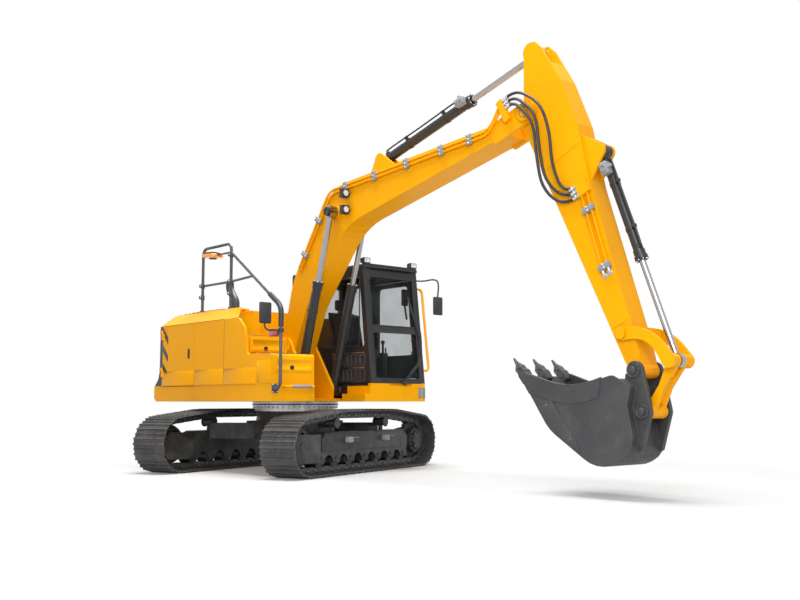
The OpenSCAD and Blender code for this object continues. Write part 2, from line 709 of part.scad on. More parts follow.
// The shoulder's plan: it runs forward along the right side and is cut back to the riser
module shoulder(d) {
  intersection() {
    across_x(bulkhead - 1, housing_front) polygon(cover_line(d));
    translate([0, 0, fold_height - 1]) linear_extrude(hood_height)
      polygon([[bulkhead - 2, -upper_half], [shoulder_front - 2 * d, -upper_half],
        [riser_front + 170 - d, crest - 60 - d], [riser_front - d, crest - d], [bulkhead - 2, crest - d]]);
  }
}
module top_cover() {
  color(yellow) difference() {
    union() {
      across_x(counterweight_front + door_gap, bulkhead) polygon(cover_line(0));
      shoulder(0);
      block([bulkhead - 1, crest - 1, riser_top + seat_gap],
        [riser_front, step_inner - 1, riser_top + cover_wall]);
    }
    across_x(counterweight_front, bulkhead - cover_wall) polygon(cover_line(cover_wall));
    intersection() {
      shoulder(cover_wall);
      block([bulkhead - 2, right_side, fold_height - 1], [riser_front - panel, step_inner, hood_height]);
    }
    block([lid_rear + lid_edge, -lid_half + lid_edge, hood_height - 100],
      [lid_front - lid_edge, lid_half - lid_edge, hood_height + 10]);
    translate([stack_x, stack_y, fold_height]) cylinder(r = stack_radius + seat_gap, h = 300);
  }
  // fixed halves of the lid's hinges
  color(yellow) for (y = lid_hinges)
    lid_hinge([lid_hinge_x, y + hinge_length + seat_gap, lid_hinge_z], hinge_length / 2, 1, hood_height);
}
// A hinge barrel along Y whose leaf goes down to height z, in front of its axis or behind it
hinge_radius = 12;
hinge_length = 110;
hinge_leaf = 50;
module lid_hinge(p, l, way, z) {
  bar_y([p[0], p[2]], hinge_radius, p[1], l);
  block([way > 0 ? p[0] : p[0] - hinge_leaf, p[1], z], [way > 0 ? p[0] + hinge_leaf : p[0],
    p[1] + l, p[2]]);
}
lid_hinges = [-600, 500];
lid_hinge_x = lid_front + hinge_radius + 4;
lid_hinge_z = hood_height + lid_height + hinge_radius;
module hood() {
  color(yellow) translate([0, 0, hood_height + seat_gap]) difference() {
    block([lid_rear, -lid_half, 0], [lid_front, lid_half, lid_height]);
    block([lid_rear + cover_wall, -lid_half + cover_wall, -1],
      [lid_front - cover_wall, lid_half - cover_wall, lid_height - cover_wall]);
    for (i = [0:10])
      block([lid_rear + 120, -560 + 60 * i, 0], [lid_rear + 420, -560 + 60 * i + grille_bar,
        lid_height + 1]);
  }
  color(yellow) for (y = lid_hinges)
    lid_hinge([lid_hinge_x, y, lid_hinge_z], hinge_length, -1, hood_height + lid_height);
}
stack_x = -300;
stack_y = -800;
stack_radius = 62;
stack_rise = 395;
stack_lean = 150;
module exhaust() {
  base = riser_top + cover_wall;
  top = hood_height + stack_rise;
  color(charcoal) {
    translate([stack_x, stack_y, base - 60]) cylinder(r = stack_radius, h = 180);
    tube(rounded_path([[stack_x, stack_y, base + 110], [stack_x, stack_y, base + 220],
      [stack_x - stack_lean, stack_y, top - 90], [stack_x - stack_lean, stack_y, top]], 110),
        stack_radius - 6, 12);
    block([stack_x - 90, stack_y - 90, base + seat_gap], [stack_x + 90, stack_y + 90, base + 10]);
  }
}

// Handrail along the right side, from the hood to the front step
hand_bar = 21;
rail_y = -upper_half + 275;
rail_rear = -890;
rail_mid = -150;
hand_top = hood_height + 890;
rail_waist = hood_height + 370;
rail_front = step_front + 150;
rail_front_y = right_side + 26;
rail_foot = 1075;
elbow_z = hood_height - 90;
diagonal_top = hand_top - 130;
// Point of the diagonal rail at height z
function diagonal(z) =
  let (f = (diagonal_top - z) / (diagonal_top - elbow_z))
  [rail_mid + 15 + (rail_front - rail_mid - 15) * f, rail_y + (rail_front_y - rail_y) * f, z];
module handrail() {
  color(charcoal) {
    tube(rounded_path([[rail_rear, rail_y, hood_height], [rail_rear, rail_y, hand_top],
      [rail_mid, rail_y, hand_top], [rail_mid, rail_y, hood_height]], 90), hand_bar);
    tube(rounded_path([diagonal(diagonal_top), [rail_front, rail_front_y, elbow_z],
      [rail_front, rail_front_y, rail_foot], [step_front, rail_front_y, rail_foot]], 80), hand_bar);
    tube([[rail_rear, rail_y, rail_waist], [rail_mid, rail_y, rail_waist], diagonal(rail_waist)],
      hand_bar - 4);
    for (x = [rail_rear, rail_mid])
      translate([x, rail_y, hood_height]) cylinder(r = hand_bar + 16, h = 22);
  }
}
beacon_x = rail_rear + 260;
beacon_radius = 140;
beacon_z = hand_top - 150;
module beacon() {
  color(orange) {
    translate([beacon_x, rail_y, beacon_z]) cylinder(r = beacon_radius, h = 50);
    translate([beacon_x, rail_y, beacon_z + 50]) cylinder(r = beacon_radius - 15, h = 30);
    block([beacon_x, rail_y - 15, beacon_z + 20], [rail_mid - hand_bar - seat_gap, rail_y + 15, beacon_z + 40]);
  }
}

// Step boxes on the right front, with the fuel tank behind them
lid_seam = 1265;
box_side = right_side + panel;
box_inner = step_inner - 4;
tank_face = housing_front - 10;
tank_pocket = 140;
pocket_y = [box_side + 80, box_inner - 30];
pocket_z = [step_low + 60, step_high - 40];
rung = 17;
rung_z = skirt_top - 25;
rung_reach = 110;
module step_boxes() {
  color(yellow) {
    block([housing_front + 10, box_side, deck_top], [step_front - panel, box_inner, skirt_top]);
    block([housing_front + 10, box_side, skirt_top], [step_front - 4, box_inner, lid_seam]);
    difference() {
      union() {
        block([riser_front - panel, box_side, deck_top], [tank_face, box_inner, step_high - seat_gap]);
        block([tank_face - 1, box_side, deck_top], [housing_front + 11, box_inner, step_low + 20]);
      }
      block([tank_face - tank_pocket, pocket_y[0], pocket_z[0]], [tank_face + 1, pocket_y[1], pocket_z[1]]);
    }
    // lower rung
    tube(rounded_path([[step_front, step_inner - 70, rung_z], [step_front + rung_reach, step_inner - 70,
      rung_z],
      [step_front + rung_reach, step_inner - 480, rung_z], [step_front, step_inner - 480, rung_z]], 40),
        rung);
    // fixed halves of the hinges
    for (y = box_hinges)
      lid_hinge([box_hinge_x, y + box_hinge + seat_gap, box_hinge_z], box_hinge / 2, -1, step_low + 4);
    translate([tank_hinge_x, tank_hinge_y, tank_hinge_z + box_hinge + seat_gap]) {
      cylinder(r = hinge_radius, h = box_hinge / 2);
      block([-60, box_inner - tank_hinge_y - 1, 0], [-24, hinge_radius / 2, box_hinge / 2]);
      block([-25, -hinge_radius / 2, 0], [0, hinge_radius / 2, box_hinge / 2]);
    }
  }
}
box_hinge = 60;
box_hinge_x = housing_front + 36;
box_hinge_z = step_low + hinge_radius + 4;
box_hinges = [-1100, -760];
module toolbox_lid() {
  wall = 14;
  x0 = housing_front + 17;
  x1 = step_front - 4;
  z0 = lid_seam + 0.4;
  width = box_inner - box_side - 4;
  color(yellow) {
    difference() {
      along_y(box_side + 2, width) polygon(rounded([[x0, z0], [x1, z0], [x1, step_low, 40],
        [x0, step_low]]));
      along_y(box_side + 2 + wall, width - 2 * wall)
        polygon(rounded([[x0 + wall, z0 - 1], [x1 - wall, z0 - 1], [x1 - wall, step_low - wall, 30],
          [x0 + wall, step_low - wall]]));
    }
    for (y = box_hinges)
      lid_hinge([box_hinge_x, y, box_hinge_z], box_hinge, 1, step_low);
  }
}
tank_plate = 18;
tank_hinge_x = tank_face + tank_plate + seat_gap;
tank_hinge_y = step_inner + 22;
tank_hinge_z = step_low + 90;
module tank_door() {
  color(yellow) {
    block([tank_face + seat_gap, pocket_y[0] - 30, pocket_z[0] - 20],
      [tank_face + seat_gap + tank_plate, box_inner, pocket_z[1] + 20]);
    translate([tank_hinge_x, tank_hinge_y, tank_hinge_z]) {
      cylinder(r = hinge_radius, h = box_hinge);
      block([-tank_plate, box_inner - tank_hinge_y - 1, 0], [0, 0, box_hinge]);
    }
  }
}

// Cab
cab_rear = cab_front - cab_length;
cab_depth = cab_top - cab_floor;
function cab_face(z) = cab_front - cab_lean * (z - cab_floor) / cab_depth;
function cab_profile(d) = [[cab_rear + d, cab_floor + d], [cab_front - d, cab_floor + d],
  [cab_face(cab_top) - d, cab_top - d], [cab_rear + d, cab_top - d]];
sill = 1215;
bar_low = 1840;
bar_high = 1925;
header = 2590;
pillar = 85;
side_sill = 1640;
door_back = 250;
door_front_gap = 75;
door_outline = [[door_back, cab_floor + 70, 40], [cab_face(cab_floor + 70) - door_front_gap,
  cab_floor + 70, 60],
  [cab_face(2600) - door_front_gap, 2600, 60], [door_back, 2600, 60]];
side_window = [[cab_rear + 330, side_sill, 40], [cab_face(side_sill) - pillar, side_sill, 40],
  [cab_face(header) - pillar, header, 60], [cab_rear + 330, header, 60]];
quarter_window = [[cab_rear + 90, side_sill, 40], [door_back - 90, side_sill, 40],
  [door_back - 90, header, 40], [cab_rear + 90, header, 40]];
rear_window = [[cab_right + 100, side_sill + 80, 40], [upper_half - 100, side_sill + 80, 40],
  [upper_half - 100, header, 40], [cab_right + 100, header, 40]];
module front_cut(z0, z1) { block([cab_rear + 700, cab_right + pillar, z0],
  [cab_front + 50, upper_half - pillar, z1]); }
module cab_frame() {
  color(charcoal) difference() {
    along_y(cab_right, upper_half - cab_right) polygon(cab_profile(0));
    along_y(cab_right + cab_wall, upper_half - cab_right - 2 * cab_wall) polygon(cab_profile(cab_wall));
    front_cut(sill, bar_low);
    front_cut(bar_high, header);
    along_y(cab_right - 1, cab_wall + 2) polygon(rounded(side_window));
    along_y(upper_half - cab_wall - 1, cab_wall + 2) {
      polygon(rounded(door_outline));
      polygon(rounded(quarter_window));
    }
    across_x(cab_rear - 1, cab_rear + cab_wall + 1) polygon(rounded(rear_window));
    // roof hatch
    block([cab_rear + 300, cab_right + 180, cab_top - cab_wall - 1],
      [cab_rear + 1000, upper_half - 180, cab_top + 1]);
  }
  // fixed halves of the door's hinges
  color(charcoal) for (z = cab_hinges)
    translate([cab_hinge_x, cab_hinge_y, z + cab_hinge_length + seat_gap]) {
      cylinder(r = cab_knuckle, h = cab_hinge_length / 2);
      block([-60, upper_half - cab_hinge_y, 0], [-26, cab_knuckle, cab_hinge_length / 2]);
      block([-60, -cab_knuckle / 2, 0], [0, cab_knuckle, cab_hinge_length / 2]);
    }
}
module cab_roof() {
  color(charcoal) {
    across_x(cab_rear, cab_face(cab_top) + 20)
      polygon(rounded([[cab_right, cab_top], [upper_half, cab_top],
        [upper_half, cab_top + roof_thickness, 40],
        [cab_right, cab_top + roof_thickness, 40]]));
    block([cab_rear + 320, cab_right + 200, cab_top + roof_thickness],
      [cab_rear + 980, upper_half - 200, cab_top + roof_thickness + 14]);
  }
}
module pane_y(y, line) { along_y(y, glass) polygon(rounded(inset(line, glass_gap))); }
module front_pane(z0, z1) {
  along_y(cab_right + pillar + glass_gap, upper_half - cab_right - 2 * pillar - 2 * glass_gap)
    polygon([[cab_face(z0) - 24, z0 + glass_gap], [cab_face(z0) - 24 + glass, z0 + glass_gap],
      [cab_face(z1) - 24 + glass, z1 - glass_gap], [cab_face(z1) - 24, z1 - glass_gap]]);
}
module cab_glass() {
  color("#9fb4bd", 0.4) {
    front_pane(sill, bar_low);
    front_pane(bar_high, header);
    pane_y(cab_right + 20, side_window);
    pane_y(upper_half - 26, quarter_window);
    across_x(cab_rear + 20, cab_rear + 20 + glass) polygon(rounded(inset(rear_window, glass_gap)));
  }
}
door_thickness = 46;
cab_knuckle = 14;
cab_hinge_x = door_back + door_gap + cab_knuckle;
cab_hinge_y = upper_half + cab_knuckle + 1;
cab_hinge_length = 110;
cab_hinges = [1350, 2250];
door_window = [[door_back + 80, 1560, 50], [cab_face(1560) - door_front_gap - 80, 1560, 50],
  [cab_face(2530) - door_front_gap - 80, 2530, 60], [door_back + 80, 2530, 60]];
module cab_door() {
  color(charcoal) {
    along_y(upper_half - door_thickness, door_thickness) difference() {
      polygon(rounded(inset(door_outline, door_gap)));
      polygon(rounded(door_window));
    }
    for (z = cab_hinges)
      translate([cab_hinge_x, cab_hinge_y, z]) {
        cylinder(r = cab_knuckle, h = cab_hinge_length);
        block([0, upper_half - cab_hinge_y, 0], [40, 0, cab_hinge_length]);
      }
    // handle
    block([cab_face(1480) - 260, upper_half, 1470], [cab_face(1480) - 130, upper_half + 18, 1500]);
  }
}
module door_glass() { color("#9fb4bd", 0.4) pane_y(upper_half - 26, door_window); }

// Operator's place
seat_x = 150;
seat_y = (cab_right + upper_half) / 2;
seat_z = 1640;
module seat() {
  color(black) {
    along_y(seat_y - 250, 500) polygon(rounded([[seat_x, seat_z - 130, 30],
      [seat_x + 500, seat_z - 130, 40],
      [seat_x + 500, seat_z, 60], [seat_x + 100, seat_z - 20], [seat_x - 30, seat_z + 560, 50],
      [seat_x - 150, seat_z + 560, 50]]));
  }
}
module controls() {
  color(black) {
    block([seat_x + 40, seat_y - 200, cab_floor + cab_wall], [seat_x + 440, seat_y + 200, seat_z - 130.4]);
    both_consoles() {
      block([seat_x + 60, 270, cab_floor + cab_wall], [seat_x + 480, 370, seat_z - 40]);
      translate([seat_x + 430, 320, seat_z - 40]) cylinder(r = 16, h = 150);
      translate([seat_x + 430, 320, seat_z + 110]) sphere(r = 30);
    }
    // travel pedals
    for (s = [-1, 1])
      translate([seat_x + 760, seat_y + s * 90, cab_floor + cab_wall]) {
        block([-60, -40, 0], [60, 40, 30]);
        translate([0, 0, 20]) cylinder(r = 11, h = 420);
      }
  }
}
module both_consoles() { translate([0, seat_y, 0]) { children(); mirror([0, 1, 0]) children(); } }
module lamp(w, h, d) {
  along_y(-w / 2, w) polygon(rounded([[-d, 0, 12], [0, 0, 8], [0, h, 8], [-d, h - 12, 20]]));
}
module cab_lamps() {
  color(black)
    for (y = [cab_right + 60, upper_half - 60])
      translate([cab_face(cab_top) + 20, y, cab_top + roof_thickness]) lamp(110, 78, 80);
}
mirror_w = 165;
mirror_h = 255;
mirror_arm = 11;
grab_x = cab_front - 40;
grab_reach = 110;
mirror_out = 207;
mirror_z = 2110;
module mirror_head() {
  along_y(-mirror_w / 2, mirror_w)
    polygon(rounded([[0, 0, 20], [40, 20, 10], [40, mirror_h - 20, 10], [0, mirror_h, 20]]));
}
module mirrors() {
  left_y = upper_half + mirror_out;
  top = mirror_z + mirror_h;
  right_y = rail_front_y - 230;
  arm_z = cab_top - 100;
  color(black) {
    translate([grab_x + 60, left_y, mirror_z]) mirror_head();
    tube(rounded_path([[cab_face(arm_z) - 40, upper_half, arm_z], [cab_face(arm_z) - 40, upper_half + 90,
      arm_z],
      [grab_x + 80, left_y, arm_z], [grab_x + 80, left_y, top - 20]], 25), mirror_arm);
    translate([rail_front - 20, right_y, mirror_right_z]) mirror_head();
    difference() {
      union() {
        tube(rounded_path([[rail_front, rail_front_y - hand_bar - 5, mirror_right_z - 70],
          [rail_front, right_y, mirror_right_z - 70], [rail_front, right_y, mirror_right_z + 20]], 25),
            mirror_arm);
        translate([rail_front, rail_front_y, mirror_right_z - 95]) cylinder(r = hand_bar + 12, h = 50);
      }
      translate([rail_front, rail_front_y, mirror_right_z - 96]) cylinder(r = hand_bar + seat_gap, h = 52);
    }
  }
}
mirror_right_z = 1840;
module grab_rail() {
  color(yellow) tube(rounded_path([[cab_face(2480) - 30, upper_half, 2480],
    [cab_face(2480) - 30, upper_half + grab_reach, 2480], [grab_x, upper_half + grab_reach, 1340],
    [grab_x, upper_half, 1340]], 60), 18);
}

// Boom: a hollow box bent at the middle, in its own frame from the foot pin to the arm pin
boom_share = boom_length / 4893;
boom_end = boom_length - 333;
boom_outline = [[60, -135], [640 * boom_share, 300, 800], [1850 * boom_share, 760, 900], [boom_end, -30],
  [boom_end, 140], [1780 * boom_share, 1400, 800], [520 * boom_share, 770, 1200], [-95, 115]];
boom_half = boom_width / 2;
tip_in = arm_width / 2 + 7;
tip_out = tip_in + tip_cheek;
eye_boss = 85;
base_ear_in = 60;
base_ear_out = 95;
base_ear = 85;
module boom() {
  color(yellow) at_boom() {
    difference() {
      along_y(-boom_half, boom_width) {
        polygon(rounded(boom_outline));
        circle(foot_radius);
      }
      along_y(-boom_half + boom_wall, boom_width - 2 * boom_wall) difference() {
        polygon(rounded(inset(boom_outline, boom_wall)));
        circle(foot_radius);
      }
      bar_y([0, 0], boom_pin + pin_gap, -boom_half - 1, boom_width + 2);
    }
    both_sides() {
      // tip cheeks and bosses
      along_y(tip_in, tip_cheek) {
        polygon([[boom_end - 180, -15], [boom_length - 50, -112], [boom_length + 50, 111],
          [boom_end - 180, 221]]);
        translate([boom_length, 0]) circle(tip_radius);
      }
      bar_y([boom_length, 0], tip_radius - 24, tip_out, 26);
      // cylinder bosses and the ears of the arm cylinder
      bar_y(boom_eye_local, eye_boss, boom_half, eye_in - side_gap - 2 - boom_half);
      along_y(base_ear_in, base_ear_out - base_ear_in) {
        polygon([arm_base_local - [255, 77], arm_base_local + [225, -287], arm_base_local + [70, 48],
          arm_base_local + [-72, 45]]);
        translate(arm_base_local) circle(base_ear);
      }
    }
    bar_y([boom_length, 0], boom_pin, -tip_in, 2 * tip_in);
    bar_y(arm_base_local, boom_pin, -base_ear_in, 2 * base_ear_in);
  }
}
// Hose blocks on the right side of the boom and the arm
hose = 17;
boom_block = [boom_length - 253, boom_length - 173];
boom_block_z = [60, 330];
arm_block = [1060, 1220];
arm_block_z = [195, 330];
block_depth = 48;
pipe = 15;
pipe_side = -boom_half - pipe - 6;
function top_line(d) =
  let (q = inset(boom_outline, d), a = flat(q[4]), b = flat(q[5]), c = flat(q[6]))
  [b + unit(c - b) * 1150, b, a + unit(b - a) * 120];
// A pipe along the boom's top edge, raised at its end to height z of the hose block
module boom_pipe(d, z) {
  line = concat(top_line(d), [[boom_block[0] + 10, z]]);
  tube(rounded_path([for (p = line) [p[0], pipe_side, p[1]]], 240, 4), pipe);
}
clamp_places = [0.12, 0.32, 0.53, 0.74, 0.9];
module boom_pipes() {
  color(yellow) at_boom() {
    boom_pipe(45, boom_block_z[1] - 40);
    boom_pipe(92, boom_block_z[1] - 90);
    block([boom_block[0], -tip_out - block_depth, boom_block_z[0]], [boom_block[1],
      -tip_out, boom_block_z[1]]);
    for (f = clamp_places) {
      m = top_line(68);
      c = m[1] + (m[2] - m[1]) * f;
      translate([c[0], -boom_half - 2 * pipe - 14, c[1]]) rotate([0, -heading(m[2] - m[1]), 0])
        block([-28, 0, -48], [28, 2 * pipe + 14, 48]);
    }
  }
}
module boom_lamps() {
  color(black) at_boom()
    for (p = [[2085, 1070], [1990, 880]])
      translate([p[0], 0, p[1]]) {
        bar_y([0, 0], 16, -boom_half - 40, 40);
        rotate([0, boom_angle, 0]) translate([-35, -boom_half - 40 - 100, -55]) cube([70, 100, 110]);
      }
}

// Cylinders, each in its own frame from the lower pin to the eye
boom_stroke_line = norm(boom_eye - boom_cylinder_base);
arm_stroke_line = norm(arm_eye - arm_base);
bucket_stroke_line = norm(link_pin - bucket_base);
boom_gland = 1439;
arm_gland = 1590;
bucket_gland = 1194;
bore_end = 120;
gland_length = 90;
module barrel(r, rod, gland, eye, eye_half, pin) {
  difference() {
    union() {
      bar_y([0, 0], eye, -eye_half, 2 * eye_half);
      on_x(0, gland, r);
      on_x(gland - gland_length, gland_length, r + 8);
    }
    bar_y([0, 0], pin + pin_gap, -eye_half - r, 2 * (eye_half + r));
    on_x(bore_end, gland, rod + pin_gap);
  }
}
module rod(r, from, to, eye, eye_half) {
  on_x(from, to - from, r);
  translate([to, 0, 0]) bar_y([0, 0], eye, -eye_half, 2 * eye_half);
}
boom_rod_end = 1000;
arm_rod_end = 920;
bucket_rod_end = 860;
module boom_barrels() {
  color(black) at_line(boom_cylinder_base, boom_eye)
    for (s = [-1, 1])
      translate([0, s * boom_cylinder_side, 0])
        barrel(boom_barrel, rod_radius, boom_gland, 80, cylinder_eye_half, boom_pin - 5);
}
module boom_rods() {
  color(chrome) at_line(boom_cylinder_base, boom_eye)
    for (s = [-1, 1])
      translate([0, s * boom_cylinder_side, 0])
        rod(rod_radius, boom_rod_end, boom_stroke_line, 78, cylinder_eye_half);
}
arm_eye_half = 55;
module arm_barrel() {
  color(black) at_line(arm_base, arm_eye)
    barrel(arm_barrel_radius, rod_radius, arm_gland, 72, arm_eye_half, boom_pin);
}
module arm_rod() {
  color(chrome) at_line(arm_base, arm_eye) rod(rod_radius, arm_rod_end, arm_stroke_line, 78, arm_eye_half);
}
bucket_pin_radius = 38;
bucket_eye_half = 32;
module bucket_barrel() {
  color(black) at_line(bucket_base, link_pin)
    barrel(bucket_barrel_radius, bucket_rod_radius, bucket_gland, 70, arm_eye_half, bucket_pin_radius);
}
module bucket_rod() {
  color(chrome) at_line(bucket_base, link_pin)
    rod(bucket_rod_radius, bucket_rod_end, bucket_stroke_line, 68, bucket_eye_half);
}

// Arm: a hollow box, in its own frame from the arm pin to the bucket pin
arm_half = arm_width / 2;
arm_outline = [[-655, 255], [120, -122, 200], [arm_length - 142, -85], [arm_length + 18, -60],
  [arm_length + 18, 60], [arm_length - 255, 115], [arm_length * 0.387, 333],
  [500, 480], [-57, 505], [-526, 458], [-644, 412]];
heel_radius = 112;
slot_half = 98;
slot_end = -320;
rocker_boss = 78;
rocker_in = arm_half + side_gap;
rocker_plate = 30;
rocker_out = rocker_in + rocker_plate;
module arm() {
  color(yellow) at_arm() {
    difference() {
      along_y(-arm_half, arm_width) {
        polygon(rounded(arm_outline));
        circle(heel_radius);
        translate([arm_length, 0]) circle(nose_radius);
        translate(arm_eye_local) circle(100);
      }
      along_y(-arm_half + arm_wall, arm_width - 2 * arm_wall) difference() {
        polygon(rounded(inset(arm_outline, arm_wall)));
        circle(heel_radius);
        translate([arm_length, 0]) circle(nose_radius + 30);
        translate(rocker_local) circle(rocker_boss);
        translate([slot_end - 300, -500]) square([300 + arm_wall, 1500]);
      }
      block([-1000, -slot_half, -500], [slot_end, slot_half, 1000]);
      bar_y([0, 0], boom_pin + pin_gap, -arm_half - 1, arm_width + 2);
      bar_y([arm_length, 0], nose_pin + pin_gap, -arm_half - 1, arm_width + 2);
    }
    both_sides() {
      // eye bosses inside the slot
      bar_y(arm_eye_local, 70, arm_eye_half + side_gap + 1, slot_half - arm_eye_half - side_gap - 1);
      // ears of the bucket cylinder
      along_y(arm_eye_half + side_gap, 28) {
        polygon([[600, 440], bucket_base_local + [-55, 50], bucket_base_local + [62, 42], [1120, 320]]);
        translate(bucket_base_local) circle(75);
      }
      // rocker pin
      bar_y(rocker_local, bucket_pin_radius, arm_half, rocker_out + side_gap - arm_half);
      bar_y(rocker_local, bucket_pin_radius + 20, rocker_out + side_gap, pin_cap - 4);
    }
    bar_y(bucket_base_local, bucket_pin_radius, -arm_eye_half - side_gap, 2 * (arm_eye_half + side_gap));
  }
}
arm_pipe_side = -arm_half - block_depth / 2;
arm_pipe_end = 2000;
arm_pipe_fall = 110;
arm_pipe_step = 70;
function arm_pipe_z(x) =
  arm_block_z[1] - 50 - arm_pipe_fall * (x - arm_block[1]) / (arm_pipe_end - arm_block[1]);
module arm_pipe(drop) {
  tube([for (x = [arm_block[1] - 20, arm_pipe_end]) [x, arm_pipe_side, arm_pipe_z(x) - drop]], pipe - 2);
}
module arm_pipes() {
  color(yellow) at_arm() {
    arm_pipe(0);
    arm_pipe(arm_pipe_step);
    block([arm_block[0], -arm_half - block_depth, arm_block_z[0]], [arm_block[1],
      -arm_half, arm_block_z[1]]);
    for (x = [arm_block[1] + 160, arm_pipe_end - 10])
      block([x - 25, -arm_half - block_depth + 6, arm_pipe_z(x) - arm_pipe_step - 25],
        [x + 25, -arm_half, arm_pipe_z(x) + 25]);
  }
}

// Bucket linkage
rocker_eye_in = 84;
rocker_eye = 70;
link_fork_in = bucket_eye_half + side_gap;
link_fork_out = link_fork_in + 40;
link_eye = 62;
link_half = 28;
link_boss = 66;
link_boss_half = arm_half + 2;
rocker_bulge = 100;
rocker_waist = 18;
// Outline of a bar of length l from the origin along X, bowed up and waisted in the middle
function lean(l, f) = atan(rocker_bulge * PI / l * cos(180 * f));
function bow_side(l, f, way) =
  [l * f, rocker_bulge * sin(180 * f)]
  + (rocker_eye - rocker_waist * sin(180 * f)) * way * [-sin(lean(l, f)), cos(lean(l, f))];
function bowed(l, n = 12) = concat([for (i = [1:n - 1]) bow_side(l, i / n, 1)],
  arc([l, 0], rocker_eye, lean(l, 1) + 90, -180), [for (i = [n - 1:-1:1]) bow_side(l, i / n, -1)],
  arc([0, 0], rocker_eye, lean(l, 0) - 90, -180));
module rocker() {
  color(yellow) at_line(rocker_pin, link_pin) {
    reach = norm(link_pin - rocker_pin);
    both_sides() {
      along_y(rocker_in, rocker_plate) difference() {
        polygon(bowed(reach));
        circle(bucket_pin_radius + pin_gap);
      }
      bar_y([reach, 0], rocker_eye - 6, rocker_eye_in, rocker_in - rocker_eye_in + 1);
    }
  }
}
module link() {
  color(yellow) at_line(ear_pin, link_pin) {
    reach = norm(link_pin - ear_pin);
    difference() {
      union() {
        bar_y([0, 0], link_boss, -link_boss_half, 2 * link_boss_half);
        both_sides() along_y(link_fork_in, link_fork_out - link_fork_in) {
          strap([0, 0], link_boss - 10, [reach * 0.5, 0], link_half);
          strap([reach * 0.5, 0], link_half, [reach, 0], link_eye);
        }
        block([100, -link_fork_in, -link_half + 12], [reach * 0.6, link_fork_in, link_half - 12]);
      }
      bar_y([0, 0], nose_pin + pin_gap, -link_boss_half - 1, 2 * link_boss_half + 2);
    }
  }
}

// Bucket, in a frame at its pin
lip = [-1240, -40];
floor_way = unit([335, -520]);
shell_line = [[-905, -560, 500], [-330, -950, 350], [60, -760, 260], [-25, -330]];
cheek_top = [[15, -150, 30], [-180, -40, 60], [-640, -165, 900], [-1185, 5]];
cheek_outline = concat([lip], shell_line, cheek_top);
hollow_line = concat([lip - floor_way * 420], shell_line, [[-95, -250], [-95, 420]]);
ear_in = arm_half + 8;
ear_out = ear_in + ear_thickness;
function plan(d) = [[-1500, -bucket_width / 2 - 20 - d], [100, -bucket_back_width / 2 - d],
  [100, bucket_back_width / 2 + d],
  [-1500, bucket_width / 2 + 20 + d]];
module tapered(d) {
  intersection() {
    along_y(-bucket_width, 2 * bucket_width) children();
    translate([0, 0, -1200]) linear_extrude(2000) polygon(plan(d));
  }
}
side_bar = [[-1240, -40], [-1130, -210], [-640, -330, 800], [-330, -250], [-300, -60], [-640, -165, 900],
  [-1185, 5]];
module bucket() {
  color(charcoal) at_bucket() {
    difference() {
      union() {
        tapered(0) polygon(rounded(cheek_outline));
        tapered(12) polygon(rounded(side_bar));
        both_sides() along_y(ear_in, ear_thickness) {
          strap([0, 0], 88, ear_local, 86);
          polygon([[-100, -30], [-130, -280], [30, -760], [70, -740], ear_local + [84, -20], [60, -60]]);
        }
      }
      tapered(-bucket_wall) polygon(rounded(inset(hollow_line, bucket_wall)));
    }
    bar_y([0, 0], nose_pin, -ear_in, 2 * ear_in);
    bar_y(ear_local, nose_pin, -ear_in, 2 * ear_in);
    both_sides() {
      bar_y([0, 0], nose_pin + 22, ear_out, pin_cap);
      bar_y(ear_local, nose_pin + 22, ear_out, pin_cap);
    }
  }
}
lip_way = unit(flat(cheek_top[3]) - lip);
tooth_way = [-lip_way[1], lip_way[0]];
tooth_half = 48;
function tooth_at(a, b) = lip + tooth_way * a + lip_way * b;
module bucket_teeth() {
  color(steel) at_bucket()
    for (y = [-tooth_pitch, 0, tooth_pitch])
      along_y(y - tooth_half, 2 * tooth_half)
        polygon([tooth_at(0, -26), tooth_at(tooth_length, 6), tooth_at(tooth_length, 18), tooth_at(70, 58),
          tooth_at(0, 62)]);
}

// Hoses over the arm joint, from the boom's hose block to the arm's
function boom_point(x, z, y) = let (p = placed(foot, boom_angle, [x, z])) [p[0], boom_offset + y, p[1]];
function arm_point(x, z, y) = let (p = placed(arm_pin, arm_angle, [x, z])) [p[0], boom_offset + y, p[1]];
hose_bend = 140;
boom_port_y = -tip_out - block_depth / 2;
port_gap = 5;
arm_port_y = -arm_half - block_depth / 2;
module free_hose(port, crown, over, side, sag, low, end) {
  tube(rounded_path([boom_point(boom_block[1] + port_gap, port, boom_port_y),
    boom_point(crown[0], crown[1], boom_port_y - 26), arm_point(over[0], over[1], -258),
    arm_point(side[0], side[1], -250), arm_point(sag[0], sag[1], -205), arm_point(end, low, arm_port_y),
    arm_point(end, arm_block_z[0] - seat_gap, arm_port_y)], hose_bend, 3), hose);
}
module hose_upper() {
  color(black) free_hose(300, [boom_length + 37, 290], [95, 265], [430, 230], [760, 60], 35, 1085);
}
module hose_middle() {
  color(black) free_hose(250, [boom_length - 13, 240], [150, 175], [480, 45], [850, -85], 40, 1135);
}
module hose_lower() {
  color(black) free_hose(200, [boom_length - 43, 185], [200, 112], [560, -32], [900, -150], -20, 1185);
}

